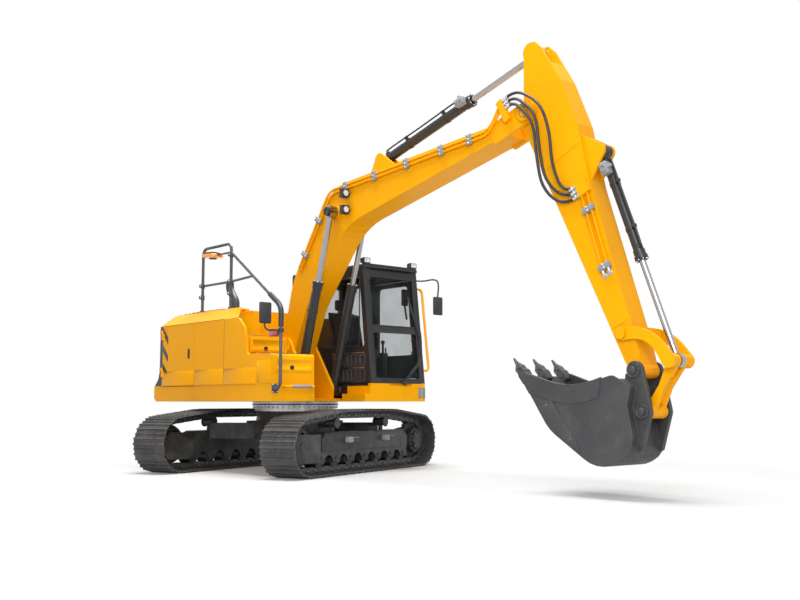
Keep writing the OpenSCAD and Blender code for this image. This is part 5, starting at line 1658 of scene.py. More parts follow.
@dataclass
class BoomGear:
    """Lamp lenses, pipe clamps and pin covers on the boom."""

    linkage: Linkage
    half: float = 0.170
    pipe: float = 0.015
    lamps: tuple[tuple[float, float], ...] = ((2.085, 1.070), (1.990, 0.880))
    clamps: tuple[tuple[float, float], ...] = (
        (2.0936, 1.1832), (2.6138, 0.9474), (3.1601, 0.6998), (3.7064, 0.4522), (4.1226, 0.2636))
    slope: float = -24.38
    low_clamps: tuple[tuple[float, float], ...] = ((0.960, 0.914), (1.420, 1.144))
    low_slope: float = 26.57
    eye: tuple[float, float] = (1.775, 1.001)
    eye_out: float = 0.340

    def lenses(self) -> None:
        """Round lenses in the boom's work lamps."""
        rims, lenses = [], []
        for x, z in self.lamps:
            middle = self.linkage.boom.at(x, z, -self.half - 0.090)
            front = middle + Vector((0.035, 0, 0))
            rims.append(round_bar("rim", front, front + Vector((0.014, 0, 0)), 0.047, 28, 0.003, 0.041))
            lenses.append(round_bar(
                "lens", front - Vector((0.001, 0, 0)), front + Vector((0.006, 0, 0)), 0.040, 28, 0.003))
        group("boom_lamp_rims", rims, Looks.PLASTIC, Body.BOOM)
        group("boom_lenses", lenses, Looks.CLEAR, Body.BOOM)

    def saddles(self) -> None:
        """Grey saddles with bolts over the pipe clamps."""
        frame_of = self.linkage.boom.matrix()
        out = -self.half - 2 * self.pipe - 0.014
        saddles, heads = [], []
        spots = [(place, self.slope) for place in self.clamps] + [
            (place, self.low_slope) for place in self.low_clamps]
        for (x, z), slope in spots:
            place = frame_of @ shifted(x, out, z) @ rotated(-slope, "Y")
            saddles.append(block("saddle", (-0.034, -0.010, -0.060), (0.034, 0.040, 0.060), 0.006, place))
            heads += [place @ looking((0, -0.010, s), (0, -1, 0)) for s in (-0.047, 0.0, 0.047)]
        group("boom_saddles", saddles, Looks.CLAMP_GREY, Body.BOOM)
        bolts("boom_saddle_bolts", 0.009, 0.010, heads, Looks.ZINC, Body.BOOM)

    def caps(self) -> None:
        """Dark six-sided covers on the lift cylinders' upper pins and bolted discs on the arm's pin."""
        covers, heads = [], []
        for way in (-1.0, 1.0):
            start = self.linkage.boom.at(*self.eye, way * self.eye_out)
            covers.append(round_bar(
                "cover", start, start + Vector((0, way * 0.030, 0)), 0.062, 6, 0.006, 0.040))
            tip = self.linkage.pins["arm_crowd"] + Vector((0, way * 0.205, 0))
            covers.append(round_bar("disc", tip - Vector((0, way * 0.014, 0)), tip, 0.060, 32, 0.004, 0.046))
            heads += ring(3, 0.036, looking(tip - Vector((0, way * 0.012, 0)), (0, way, 0)), 90.0)
        group("boom_pin_covers", covers, Looks.BARREL_BLACK, Body.BOOM)
        bolts("boom_pin_bolts", 0.010, 0.014, heads, Looks.ZINC, Body.BOOM)

    def build(self) -> None:
        """Model every fitting of the boom."""
        self.lenses()
        self.saddles()
        self.caps()


@dataclass
class Ram:
    """Sizes of one hydraulic cylinder's dressing."""

    name: str
    plane: Plane
    body: Body
    radius: float
    rod: float
    gland: float
    sides: tuple[float, ...] = (0.0,)
    pipe_turn: float = 0.0


@dataclass
class CylinderGear:
    """Gland rings, bolts, feed pipes and bands on the hydraulic cylinders."""

    linkage: Linkage

    def rams(self) -> list[Ram]:
        """The three cylinder sets."""
        link = self.linkage
        return [
            Ram("boom", link.boom_cylinder, Body.BOOM_CYLINDERS, 0.058, 0.037, 1.439, (-0.285, 0.285), 0.0),
            Ram("arm", link.arm_cylinder, Body.ARM_CYLINDER, 0.060, 0.037, 1.590, (0.0,), 35.0),
            Ram("bucket", link.bucket_cylinder, Body.BUCKET_CYLINDER, 0.050, 0.032, 1.194, (0.0,), 30.0)]

    def gland_ring(self, ram: Ram, place: Matrix) -> Mesh:
        """A collar with a hole for the rod, turned about the cylinder's axis.

        Args:
            ram: the cylinder's sizes.
            place: the cylinder's frame.

        Returns:
            The collar.
        """
        inner, outer = ram.rod + 0.003, ram.radius + 0.016
        profile = [
            (inner, 0.0), (outer - 0.004, 0.0), (outer, 0.004), (outer, 0.040), (outer - 0.006, 0.046),
            (inner + 0.008, 0.046), (inner, 0.040), (inner, 0.0)]
        ring = lathe("gland", profile, (0, 0, 0), 36)
        return settle(ring, place @ shifted(ram.gland - 0.030, 0, 0) @ LIE)

    def dress(self, ram: Ram) -> None:
        """Dress every cylinder of one set.

        Args:
            ram: the set's sizes.
        """
        rings, heads, pipes, bands = [], [], [], []
        for side in ram.sides:
            place = ram.plane.matrix() @ shifted(0, side, 0)
            rings.append(self.gland_ring(ram, place))
            heads += ring(8, ram.radius + 0.005, place @ looking((ram.gland + 0.014, 0, 0), (1, 0, 0)))
            turned = place @ rotated(ram.pipe_turn if side <= 0 else -ram.pipe_turn, "X")
            high = ram.radius + 0.030
            route = [
                (0.115, 0, ram.radius - 0.004), (0.118, 0, high - 0.008), (0.150, 0, high),
                (0.5 * ram.gland, 0, high), (ram.gland - 0.155, 0, high),
                (ram.gland - 0.122, 0, high - 0.008), (ram.gland - 0.119, 0, ram.radius - 0.004)]
            pipes.append(pipe("feed", [turned @ Vector(point) for point in route], 0.011, 12))
            for x in (0.115, ram.gland - 0.119):
                bands.append(block(
                    "port", (x - 0.024, -0.022, ram.radius - 0.012), (x + 0.024, 0.022, ram.radius + 0.014),
                    0.004, turned))
            for share in (0.30, 0.72):
                x = share * ram.gland
                band = lathe(
                    "band",
                    [
                        (ram.radius + 0.0005, 0), (ram.radius + 0.005, 0), (ram.radius + 0.005, 0.034),
                        (ram.radius + 0.0005, 0.034)],
                    (0, 0, 0), 32)
                bands.append(settle(band, place @ shifted(x, 0, 0) @ LIE))
                bands.append(block(
                    "saddle", (x, -0.020, ram.radius), (x + 0.034, 0.020, high + 0.015), 0.004, turned))
        group(ram.name + "_gland_rings", rings, Looks.BARREL_BLACK, ram.body)
        bolts(ram.name + "_gland_bolts", 0.007, 0.010, heads, Looks.ZINC, ram.body)
        group(ram.name + "_feed_pipes", pipes, Looks.BARREL_BLACK, ram.body)
        group(ram.name + "_bands", bands, Looks.BARREL_BLACK, ram.body)

    def valves(self) -> None:
        """Grey valve blocks on the arm and bucket cylinders."""
        for name, ram, x in (("arm_valve", self.rams()[1], 1.430), ("bucket_valve", self.rams()[2], 0.150)):
            place = ram.plane.matrix()
            core = block(
                name, (x, -0.075 - ram.radius, -0.035), (x + 0.130, -ram.radius + 0.006, 0.050), 0.007, place)
            plugs = [
                round_bar(
                    "plug", place @ Vector((x + 0.035 + 0.06 * i, -0.075 - ram.radius, 0.008)),
                    place @ Vector((x + 0.035 + 0.06 * i, -0.098 - ram.radius, 0.008)), 0.017, 6, 0.003)
                for i in range(2)]
            neck = round_bar(
                "neck", place @ Vector((x + 0.065, -0.045 - ram.radius, 0.048)),
                place @ Vector((x + 0.065, -0.045 - ram.radius, 0.085)), 0.018, 20)
            group(name, [core, neck, *plugs], Looks.CLAMP_GREY, ram.body)

    def build(self) -> None:
        """Dress every cylinder."""
        for ram in self.rams():
            self.dress(ram)
        self.valves()


@dataclass
class ArmGear:
    """Pipe saddles and end elbows on the arm."""

    linkage: Linkage
    half: float = 0.128
    pipe_side: float = -0.152
    pipe_end: float = 2.000
    block_end: float = 1.220
    pipe_top: float = 0.280
    pipe_fall: float = 0.110
    pipe_step: float = 0.070

    def pipe_z(self, x: float) -> float:
        """Height of the upper pipe along the arm."""
        return self.pipe_top - self.pipe_fall * (x - self.block_end) / (self.pipe_end - self.block_end)

    def saddles(self) -> None:
        """Grey saddles over the pipes, with two bolts each."""
        frame_of = self.linkage.arm.matrix()
        saddles, heads = [], []
        for x in (1.380, 1.990):
            middle = self.pipe_z(x) - 0.5 * self.pipe_step
            place = frame_of @ shifted(x, self.pipe_side, middle)
            saddles.append(block("saddle", (-0.032, -0.030, -0.068), (0.032, 0.020, 0.068), 0.006, place))
            heads += [place @ looking((s, -0.030, 0.0), (0, -1, 0)) for s in (-0.016, 0.016)]
        group("arm_saddles", saddles, Looks.CLAMP_GREY, Body.ARM)
        bolts("arm_saddle_bolts", 0.009, 0.010, heads, Looks.ZINC, Body.ARM)

    def elbows(self) -> None:
        """Bent fittings where the pipes go into the arm, with hexagon nuts."""
        elbows = []
        for drop in (0.0, self.pipe_step):
            z = self.pipe_z(self.pipe_end) - drop
            route = [
                (self.pipe_end - 0.01, self.pipe_side, z), (self.pipe_end + 0.035, self.pipe_side, z - 0.006),
                (self.pipe_end + 0.060, self.pipe_side + 0.010, z - 0.012),
                (self.pipe_end + 0.066, self.pipe_side + 0.030, z - 0.012)]
            elbows.append(pipe(
                "elbow", [self.linkage.arm.at(x, height, y) for x, y, height in route], 0.017, 16))
            for a, b, radius in (((0.002, 0.0), (0.026, 0.0), 0.024), ((-0.035, 0.0), (-0.022, 0.0), 0.020)):
                elbows.append(round_bar(
                    "nut", self.linkage.arm.at(self.pipe_end + a[0], z + a[1], self.pipe_side),
                    self.linkage.arm.at(self.pipe_end + b[0], z + b[1], self.pipe_side), radius, 6, 0.003))
            foot = self.linkage.arm.at(self.pipe_end + 0.066, z - 0.012, -self.half - 0.010)
            elbows.append(round_bar("flange", foot, foot + Vector((0, 0.012, 0)), 0.030, 20, 0.003))
        group("arm_elbows", elbows, Looks.ZINC, Body.ARM)

    def build(self) -> None:
        """Model every fitting of the arm."""
        self.saddles()
        self.elbows()


@dataclass
class WeldSeams:
    """Weld beads across the sides of the boom and the arm, where their plates meet."""

    linkage: Linkage
    bead: float = 0.005
    boom_half: float = 0.170
    arm_half: float = 0.128
    boom_lines: tuple[tuple[float, float, float, float], ...] = (
        (0.985, 0.985, 1.120, 0.505), (2.420, 1.085, 2.300, 0.650), (3.950, 0.400, 3.910, 0.178))
    arm_lines: tuple[tuple[float, float, float, float], ...] = (
        (0.690, 0.420, 0.690, -0.100), (2.560, 0.130, 2.560, -0.078))

    def build(self) -> None:
        """Lay the beads on both sides of each member."""
        for name, plane, half, lines, body in (
                ("boom_welds", self.linkage.boom, self.boom_half, self.boom_lines, Body.BOOM),
                ("arm_welds", self.linkage.arm, self.arm_half, self.arm_lines, Body.ARM)):
            beads = [
                pipe(
                    name,
                    [
                        plane.at(x0 + (x1 - x0) * t, z0 + (z1 - z0) * t, way * half)
                        for t in (0.0, 0.35, 0.7, 1.0)],
                    self.bead, 8)
                for x0, z0, x1, z1 in lines for way in (-1.0, 1.0)]
            group(name, beads, Looks.YELLOW, body)


@dataclass
class BucketGear:
    """Teeth on adapters, wear plates and pin heads of the bucket."""

    linkage: Linkage
    pitch: float = 0.300
    length: float = 0.240
    half: float = 0.048
    lip: tuple[float, float] = (-1.240, -0.040)
    tooth_way: tuple[float, float] = (-0.633, 0.774)
    lip_way: tuple[float, float] = (0.774, 0.633)
    front_half: float = 0.380
    rear_half: float = 0.260
    reach: float = 1.600
    behind: float = 1.500
    cap_out: float = 0.194
    ear: tuple[float, float] = (0.088, -0.381)

    def tooth_point(self, a: float, b: float) -> tuple[float, float]:
        """A point of the tooth's side view: a along the tooth, b across its thickness."""
        return (
            self.lip[0] + self.tooth_way[0] * a + self.lip_way[0] * b,
            self.lip[1] + self.tooth_way[1] * a + self.lip_way[1] * b)

    def wedge(
            self, name: str, outline: Outline, half: float, narrow: Sequence[tuple[float, float]],
            round_by: float) -> Mesh:
        """A plate of the side view, drawn in at its far end.

        Args:
            name: the piece's name.
            outline: the side view, along and across the tooth.
            half: half the width at the root.
            narrow: distances from which the plate is narrower, each with its share of the width before.
            round_by: radius of the edges.

        Returns:
            The new object at the bucket's middle tooth.
        """
        stand = shifted(0, half, 0) @ STAND
        obj = plate(name, outline, 2 * half, stand, 0.0005)
        for distance, share in narrow:
            pick(obj)
            for vertex in obj.data.vertices:
                vertex.select = vertex.co.x > distance
            bpy.ops.object.mode_set(mode="EDIT")
            bpy.ops.mesh.select_mode(type="VERT")
            bpy.ops.transform.resize(value=(1, share, 1))
            bpy.ops.object.mode_set(mode="OBJECT")
        bevel(obj, round_by, 3, 25.0)
        turn = math.atan2(self.tooth_way[1], self.tooth_way[0])
        flip = Matrix((
            (math.cos(turn), 0, self.lip_way[0], self.lip[0]), (0, -1, 0, 0),
            (math.sin(turn), 0, self.lip_way[1], self.lip[1]), (0, 0, 0, 1)))
        return settle(obj, self.linkage.bucket.matrix() @ flip)

    def teeth(self) -> None:
        """Adapters welded over the edge with pointed teeth pinned on them."""
        adapter = self.wedge(
            "adapter",
            [
                (-0.070, -0.034), (0.030, -0.034), (0.105, -0.012), (0.105, 0.040), (0.040, 0.072),
                (-0.060, 0.066)],
            0.9 * self.half, [(0.09, 0.72)], 0.008)
        tip = self.wedge(
            "tip",
            [
                (0.070, -0.028), (0.110, -0.030), (0.165, -0.008), (self.length, 0.006), (self.length, 0.016),
                (0.170, 0.030), (0.112, 0.054), (0.070, 0.056)],
            0.8 * self.half, [(0.14, 0.62), (0.20, 0.45)], 0.006)
        middle = Vector((*self.tooth_point(0.100, 0.014), 0.0))
        centre = self.linkage.bucket.at(middle.x, middle.y)
        pin = round_bar(
            "pin", centre - Vector((0, 0.054, 0)), centre + Vector((0, 0.054, 0)), 0.013, 16, 0.003)
        shifts = [shifted(0, k * self.pitch, 0) for k in (-1, 0, 1)]
        adapters = copies(join("adapter", [adapter, pin]), shifts, "tooth_adapters")
        fit(adapters, Looks.BUCKET, Body.BUCKET)
        points = copies(tip, shifts, "tooth_points")
        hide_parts("bucket_teeth")
        fit(points, Looks.TEETH, Body.BUCKET)

    def cheek(self, side: float) -> Matrix:
        """A frame on a cheek's outer face: X back along it, Z outwards.

        Args:
            side: -1 for the right cheek and 1 for the left.

        Returns:
            The frame.
        """
        slant = (self.front_half - self.rear_half) / self.reach
        along = Vector((1.0, -slant * side, 0.0)).normalized()
        up = Vector((0.0, 0.0, -side))
        out = along.cross(up)
        start = Vector((0.0, side * (self.front_half - slant * self.behind), 0.0))
        turn = Matrix((along, up, out)).transposed().to_4x4()
        return self.linkage.bucket.matrix() @ Matrix.Translation(start) @ turn

    def wear_plates(self) -> None:
        """Thin plates on the cheeks and strips under the floor."""
        outline = [
            (-1.122, -0.215), (-0.888, -0.545), (-0.545, -0.785), (-0.600, -0.650), (-0.720, -0.500),
            (-0.815, -0.360), (-0.865, -0.262), (-0.990, -0.240)]
        plates, heads = [], []
        for side in (-1.0, 1.0):
            place = self.cheek(side)
            drawn = [(x, -side * z) for x, z in (outline if side < 0 else outline[::-1])]
            plates.append(plate("wear", drawn, 0.008, place, 0.003))
            heads += [place @ shifted(x, -side * z, 0.007) for x, z in ((-0.655, -0.655), (-0.930, -0.330))]
        floor = [
            (-1.165, -0.175), (-1.040, -0.368), (-0.930, -0.533), (-0.865, -0.600), (-0.720, -0.700),
            (-0.560, -0.806)]
        for y in (-0.22, 0.0, 0.22):
            rows = [
                [self.linkage.bucket.at(x - 0.003, z - 0.003, y + s * 0.03) for s in (-1, 1)]
                for x, z in floor]
            plates.append(shell("strip", rows, 0.014))
        group("bucket_wear_plates", plates, Looks.BUCKET, Body.BUCKET)
        bolts("bucket_bolts", 0.012, 0.010, heads, Looks.TEETH, Body.BUCKET)

    def pins(self) -> None:
        """Six-sided heads on the ears' pins, each in a turned ring."""
        heads = []
        for x, z in ((0.0, 0.0), self.ear):
            for way in (-1.0, 1.0):
                face = self.linkage.bucket.at(x, z, way * self.cap_out)
                heads.append(round_bar(
                    "ring", face - Vector((0, way * 0.006, 0)), face + Vector((0, way * 0.010, 0)), 0.066, 32,
                    0.004, 0.050))
                heads.append(round_bar(
                    "head", face - Vector((0, way * 0.012, 0)), face + Vector((0, way * 0.022, 0)), 0.038, 6,
                    0.005))
        group("bucket_pin_heads", heads, Looks.BUCKET, Body.BUCKET)

    def build(self) -> None:
        """Model every fitting of the bucket."""
        self.teeth()
        self.wear_plates()
        self.pins()


@dataclass(frozen=True)
class HoseRoute:
    """The turning points of one hose, in the boom's and the arm's frames."""

    name: str
    port: float
    crown: tuple[float, float]
    over: tuple[float, float]
    side: tuple[float, float]
    sag: tuple[float, float]
    low: float
    end: float


@dataclass
class HoseGear:
    """Three hydraulic hoses over the arm's joint and their fittings."""

    linkage: Linkage
    radius: float = 0.017
    rib_pitch: float = 0.011
    groove: float = 0.90
    boom_side: float = -0.199
    arm_side: float = -0.152
    start: float = 4.725
    arm_port: float = 0.1947
    routes: tuple[HoseRoute, ...] = (
        HoseRoute(
            "hose_upper", 0.300, (4.930, 0.290), (0.095, 0.265), (0.430, 0.230), (0.760, 0.060), 0.035,
            1.085),
        HoseRoute(
            "hose_middle", 0.250, (4.880, 0.240), (0.150, 0.175), (0.480, 0.045), (0.850, -0.085), 0.040,
            1.135),
        HoseRoute(
            "hose_lower", 0.200, (4.850, 0.185), (0.200, 0.112), (0.560, -0.032), (0.900, -0.150), -0.020,
            1.185))

    def corners(self, route: HoseRoute) -> list[Vector]:
        """The hose's turning points in the machine's frame."""
        boom, arm = self.linkage.boom, self.linkage.arm
        return [
            boom.at(self.start, route.port, self.boom_side), boom.at(*route.crown, self.boom_side - 0.026),
            arm.at(*route.over, -0.258), arm.at(*route.side, -0.250), arm.at(*route.sag, -0.205),
            arm.at(route.end, route.low, self.arm_side), arm.at(route.end, self.arm_port, self.arm_side)]

    def rounded(self, corners: Sequence[Vector], steps: int = 5) -> list[Vector]:
        """Join the middles of a route's legs by arcs, with longer arcs at its ends.

        Args:
            corners: the route's turning points.
            steps: points on each arc.

        Returns:
            The points of the rounded route.
        """
        path = [corners[0]]
        last_turn = len(corners) - 2
        for i in range(1, len(corners) - 1):
            legs = corners[i - 1] - corners[i], corners[i + 1] - corners[i]
            shares = 0.9 if i == 1 else 0.5, 0.96 if i == last_turn else 0.5
            cut = min(leg.length * share for leg, share in zip(legs, shares))
            a, b = (leg.normalized() for leg in legs)
            half = 0.5 * a.angle(b)
            bend = cut * math.tan(half)
            centre = corners[i] + (a + b).normalized() * (bend / math.sin(half))
            first, last = corners[i] + a * cut - centre, corners[i] + b * cut - centre
            path += [centre + first.slerp(last, k / steps).normalized() * bend for k in range(steps + 1)]
        return [*path, corners[-1]]

    @staticmethod
    def spaced(path: Sequence[Vector], step: float) -> list[Vector]:
        """Points at even steps along a path.

        Args:
            path: points of the path.
            step: distance that is aimed at.

        Returns:
            The even points.
        """
        lengths = [0.0]
        for a, b in zip(path, path[1:]):
            lengths.append(lengths[-1] + (b - a).length)
        count = max(2, round(lengths[-1] / step))
        points, leg = [], 0
        for i in range(count + 1):
            s = lengths[-1] * i / count
            while leg < len(path) - 2 and s > lengths[leg + 1]:
                leg += 1
            share = (s - lengths[leg]) / (lengths[leg + 1] - lengths[leg])
            points.append(path[leg].lerp(path[leg + 1], min(max(share, 0.0), 1.0)))
        return points

    def tube(self, name: str, points: Sequence[Vector]) -> Mesh:
        """A hose with fine rings round it, along evenly spaced points.

        Args:
            name: the hose's name.
            points: the even points.

        Returns:
            The new object, at the origin.
        """
        curve = new_curve(name, self.radius, 3)
        knots = curve.splines.new("POLY").points
        knots.add(len(points) - 1)
        for i, (knot, point) in enumerate(zip(knots, points)):
            knot.co = (*point, 1.0)
            knot.radius = 1.0 if i % 2 else self.groove
        return skin(name, curve, 60)

    def fittings(self, name: str, path: Sequence[Vector], body: Body) -> Mesh:
        """A crimped ferrule and a nut at a hose's end, from the end inwards.

        Args:
            name: the piece's name.
            path: the hose's points from this end.
            body: the body that it rides on.

        Returns:
            The joined fittings.
        """
        way = (path[1] - path[0]).normalized()
        ferrule = round_bar(
            "ferrule", path[0] + way * 0.026, path[0] + way * 0.085, self.radius + 0.005, 20, 0.004)
        nut = round_bar("nut", path[0] - way * 0.004, path[0] + way * 0.028, self.radius + 0.009, 6, 0.004)
        collar = round_bar(
            "collar", path[0] + way * 0.040, path[0] + way * 0.052, self.radius + 0.0075, 20, 0.002)
        return group(name, [ferrule, nut, collar], Looks.ZINC, body)

    def build(self) -> None:
        """Model the hoses, bend them across the arm's joint and fit their ends."""
        for route in self.routes:
            path = self.rounded(self.corners(route))
            tube = self.tube(route.name.replace("hose", "ribbed_hose"), self.spaced(path, self.rib_pitch))
            Looks.HOSE.coat(tube)
            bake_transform(tube)
            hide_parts(route.name)
            ends = [
                self.fittings(route.name + "_boom_end", path, Body.BOOM),
                self.fittings(route.name + "_arm_end", path[::-1], Body.ARM)]


@dataclass
class SeatPad:
    """The operator's seat: a dark shell and two padded cushions."""

    front: float = 0.650
    rear: float = 0.150
    middle: float = 0.7675
    half: float = 0.250
    top: float = 1.640
    voxel: float = 0.006
    travel: float = 0.016
    pressure: float = 4.0
    frames: int = 20
    stiffness: float = 12.0
    held_height: float = 0.012

    def cushion(self, name: str, low: Point, high: Point, matrix: Matrix) -> Mesh:
        """Blow up a closed block of cloth, held flat underneath.

        Args:
            name: the piece's name.
            low: lowest corner of the block in its own frame.
            high: highest corner of the block.
            matrix: where the block's own frame lies.

        Returns:
            The finished cushion.
        """
        obj = block(name, low, high, 0.028)
        self.inflate(obj, low[2])
        pick(obj)
        bpy.ops.object.shade_smooth()
        seam = self.seam(obj, 0.62 * high[2] + 0.38 * low[2])
        settle(seam, matrix)
        settle(obj, matrix)
        fit(seam, Looks.TRIM, Body.UPPER)
        return fit(obj, Looks.SEAT, Body.UPPER)

    def inflate(self, obj: Mesh, floor: float) -> None:
        """Run the cloth under pressure and keep each point near its start.

        Args:
            obj: the block.
            floor: height of its underside, which is held.
        """
        pick(obj)
        obj.data.remesh_voxel_size = self.voxel
        bpy.ops.object.voxel_remesh()
        starts = [vertex.co.copy() for vertex in obj.data.vertices]
        held = obj.vertex_groups.new(name="held")
        held.add([v.index for v in obj.data.vertices if v.co.z < floor + self.held_height], 1.0, "REPLACE")
        cloth = obj.modifiers.new("stuffing", "CLOTH")
        cloth.settings.use_pressure = True
        cloth.settings.uniform_pressure_force = self.pressure
        cloth.settings.vertex_group_mass = held.name
        cloth.settings.effector_weights.gravity = 0.0
        cloth.settings.tension_stiffness = self.stiffness
        cloth.settings.compression_stiffness = self.stiffness
        cloth.point_cache.frame_start = 1
        cloth.point_cache.frame_end = self.frames
        for number in range(1, self.frames + 1):
            bpy.context.scene.frame_set(number)
        bpy.ops.object.modifier_apply(modifier=cloth.name)
        for vertex, start in zip(obj.data.vertices, starts):
            moved = vertex.co - start
            if moved.length > self.travel:
                vertex.co = start + moved.normalized() * self.travel
        obj.vertex_groups.clear()
        bpy.context.scene.frame_set(1)
        finer = obj.modifiers.new("finer", "SUBSURF")
        finer.levels = finer.render_levels = 1
        bpy.ops.object.modifier_apply(modifier=finer.name)

    @staticmethod
    def seam(obj: Mesh, height: float, buckets: int = 44) -> Mesh:
        """A sewn edge round a cushion at a height, on its outermost points.

        Args:
            obj: the cushion.
            height: the seam's height.
            buckets: points round the seam.

        Returns:
            The seam.
        """
        outer: dict[int, Vector] = {}
        middle = sum((v.co for v in obj.data.vertices), Vector()) / len(obj.data.vertices)
        for vertex in obj.data.vertices:
            offset = vertex.co - middle
            key = int((math.atan2(offset.y, offset.x) / math.tau + 0.5) * buckets) % buckets
            flat = Vector((offset.x, offset.y, 0.0))
            if key not in outer or flat.length > outer[key].length:
                outer[key] = flat
        route = [Vector((middle.x, middle.y, height)) + outer[key] for key in sorted(outer)]
        return pipe(obj.name + "_seam", [*route, route[0]], 0.0045, 8)

    def build(self) -> None:
        """Make the shell and both cushions."""
        outline = [
            (self.rear, self.top - 0.13), (self.front - 0.03, self.top - 0.13),
            (self.front - 0.01, self.top - 0.095), (self.rear + 0.06, self.top - 0.095),
            (self.rear - 0.10, self.top + 0.54), (self.rear - 0.14, self.top + 0.54)]
        stand = shifted(0, self.middle + self.half - 0.02, 0) @ STAND
        fit(plate("seat_shell", outline, 2 * self.half - 0.04, stand, 0.008), Looks.PLASTIC, Body.UPPER)
        flat = shifted(0.5 * (self.rear + self.front) + 0.045, self.middle, self.top - 0.095)
        pad = self.cushion("seat_cushion", (-0.195, -0.232, 0.0), (0.195, 0.232, 0.085), flat)
        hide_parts("seat")
        lean = shifted(self.rear + 0.005, self.middle, self.top + 0.27) @ rotated(90 - 13, "Y")
        self.cushion("seat_back", (-0.245, -0.225, 0.0), (0.245, 0.225, 0.080), lean)


@dataclass
class Dressing:
    """Finishes for the solids that carry over from the frame."""

    nodes: dict[str, Finish] = field(default_factory=lambda: {
        **dict.fromkeys(
            (
                "deck", "counterweight", "side_panels", "door_right", "door_left", "top_cover", "hood",
                "step_boxes", "toolbox_lid", "tank_door", "grab_rail", "boom", "boom_pipes", "arm",
                "arm_pipes", "rocker", "link"),
            Looks.YELLOW),
        **dict.fromkeys(
            ("track_frame_left", "track_frame_right", "idlers", "final_drives", "car_body"),
            Looks.FRAME_GREY),
        **dict.fromkeys(("track_left", "track_right"), Looks.TRACK),
        **dict.fromkeys(("handrail", "exhaust"), Looks.RAIL_GREY),
        **dict.fromkeys(("cab_frame", "cab_roof", "cab_door"), Looks.CAB_BLACK),
        **dict.fromkeys(("boom_barrels", "arm_barrel", "bucket_barrel"), Looks.BARREL_BLACK),
        **dict.fromkeys(("boom_rods", "arm_rod", "bucket_rod"), Looks.ROD),
        **dict.fromkeys(("cab_glass", "door_glass"), Looks.GLASS),
        **dict.fromkeys(("controls", "cab_lamps", "mirrors", "boom_lamps"), Looks.PLASTIC),
        "rollers": Looks.FRAME_GREY, "slew_ring": Looks.BEARING, "bucket": Looks.BUCKET,
        "bucket_teeth": Looks.TEETH, "engine_block": Looks.ZINC, "beacon": Looks.AMBER, "seat": Looks.SEAT,
        **dict.fromkeys(("hose_upper", "hose_middle", "hose_lower"), Looks.HOSE)})

    def dress(self) -> None:
        """Put each node's finish on it."""
        for name, finish in self.nodes.items():
            finish.coat(frame["nodes"][name])


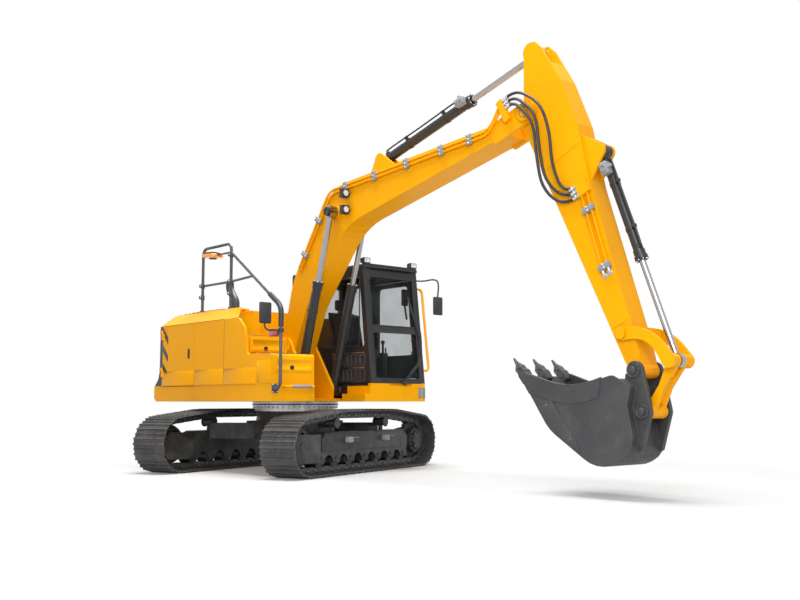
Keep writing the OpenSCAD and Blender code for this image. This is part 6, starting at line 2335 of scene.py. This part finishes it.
@dataclass
class Studio:
    """White floor and sky, soft lamps and the camera at the photograph's viewpoint."""

    eye: Point = (11.293, -7.998, 0.904)
    yaw: float = 48.71
    pitch: float = 5.9
    lens: float = 44.66
    sensor: float = 36.0
    sight: float = 500.0
    floor_side: float = 120.0
    floor_grey: float = 0.56
    sky_fill: float = 0.34
    shadow_reach: float = 3.3
    shadow_end: float = 1.7 * 3.3
    shadow_lift: float = 0.15
    shadow_middle: Point = (2.2, 0.2, 0.0)

    def camera(self) -> None:
        """Set the camera."""
        data = bpy.data.cameras.new("studio_camera")
        data.lens = self.lens
        data.sensor_width = self.sensor
        data.clip_end = self.sight
        obj = bpy.data.objects.new("studio_camera", data)
        obj.location = self.eye
        obj.rotation_euler = (math.radians(90 + self.pitch), 0.0, math.radians(self.yaw))
        bpy.context.collection.objects.link(obj)
        bpy.context.scene.camera = obj

    def lamp(self, name: str, place: Point, aim: Point, side: float, watts: float) -> None:
        """A square soft lamp that looks at a point.

        Args:
            name: the lamp's name.
            place: where it hangs.
            aim: the point that it looks at.
            side: length of its side.
            watts: its power.
        """
        data = bpy.data.lights.new(name, "AREA")
        data.energy = watts
        data.size = side
        obj = bpy.data.objects.new(name, data)
        obj.location = place
        obj.rotation_euler = (Vector(aim) - Vector(place)).to_track_quat("-Z", "Y").to_euler()
        bpy.context.collection.objects.link(obj)

    @staticmethod
    def seen(tree: bpy.types.NodeTree) -> Socket:
        """A factor that is 1 for what the camera sees, in gloss and through glass too.

        Args:
            tree: the node tree to build in.

        Returns:
            The factor's socket.
        """
        path = tree.nodes.new("ShaderNodeLightPath")
        seen = path.outputs["Is Camera Ray"]
        for ray in ("Is Glossy Ray", "Is Transmission Ray"):
            either = tree.nodes.new("ShaderNodeMath")
            either.operation = "MAXIMUM"
            tree.links.new(seen, either.inputs[0])
            tree.links.new(path.outputs[ray], either.inputs[1])
            seen = either.outputs["Value"]
        return seen

    def world(self) -> None:
        """An even sky that cameras, gloss and glass see as white."""
        world = bpy.data.worlds.new("studio_sky")
        world.use_nodes = True
        bpy.context.scene.world = world
        tree = world.node_tree
        background = tree.nodes["Background"]
        background.inputs["Color"].default_value = (1.0, 1.0, 1.0, 1.0)
        strength = tree.nodes.new("ShaderNodeMapRange")
        strength.inputs["To Min"].default_value = self.sky_fill
        strength.inputs["To Max"].default_value = 1.0
        tree.links.new(self.seen(tree), strength.inputs["Value"])
        tree.links.new(strength.outputs["Result"], background.inputs["Strength"])

    def floor(self) -> None:
        """A white floor that keeps soft shadows."""
        clear()
        bpy.ops.mesh.primitive_plane_add(size=self.floor_side)
        obj = bpy.context.object
        obj.name = "studio_floor"
        g = Graph("studio_floor")
        g.set(
            Base_Color=(self.floor_grey, self.floor_grey, self.floor_grey, 1.0), Roughness=0.9,
            Specular_IOR_Level=0.1)
        lift = g.node("ShaderNodeEmission")
        lift.inputs["Strength"].default_value = 1.0
        share = g.node("ShaderNodeMixShader")
        reach = g.node("ShaderNodeVectorMath", operation="DISTANCE")
        g.link(g.coords, reach.inputs[0])
        reach.inputs[1].default_value = self.shadow_middle
        far = g.spread(reach.outputs["Value"], self.shadow_reach, self.shadow_end, self.shadow_lift, 1.0)
        g.link(g.times(self.seen(g.tree), far), share.inputs["Fac"])
        g.link(g.shader.outputs["BSDF"], share.inputs[1])
        g.link(lift.outputs["Emission"], share.inputs[2])
        g.link(share.outputs["Shader"], g.output.inputs["Surface"])
        obj.data.materials.append(g.material)

    def build(self) -> None:
        """Set up floor, sky, lamps and camera."""
        scene = bpy.context.scene
        scene.view_settings.view_transform = "Standard"
        self.camera()
        self.world()
        self.floor()
        self.lamp("key_lamp", (2.5, -1.5, 13.5), (2.5, -0.3, 0.0), 6.5, 2700.0)
        self.lamp("front_lamp", (12.0, -8.5, 6.0), (2.0, 0.0, 1.8), 8.0, 1150.0)
        self.lamp("rear_lamp", (-8.0, 8.0, 9.0), (1.0, 0.0, 1.5), 8.0, 800.0)


def main() -> None:
    """Build the studio, dress the frame and add every sub-assembly."""
    logging.basicConfig(level=logging.INFO, format="%(message)s")
    linkage = Linkage()
    Studio().build()
    Dressing().dress()
    for part in (
            HoseGear(linkage), TrackGear(), FrameGear(), SlewGear(), HousingTrim(), StepGear(), RailGear(),
            BeaconGear(), CabTrim(), BoomGear(linkage), CylinderGear(linkage), ArmGear(linkage),
            WeldSeams(linkage), BucketGear(linkage), SeatPad()):
        part.build()


if __name__ == "__main__":
    main()
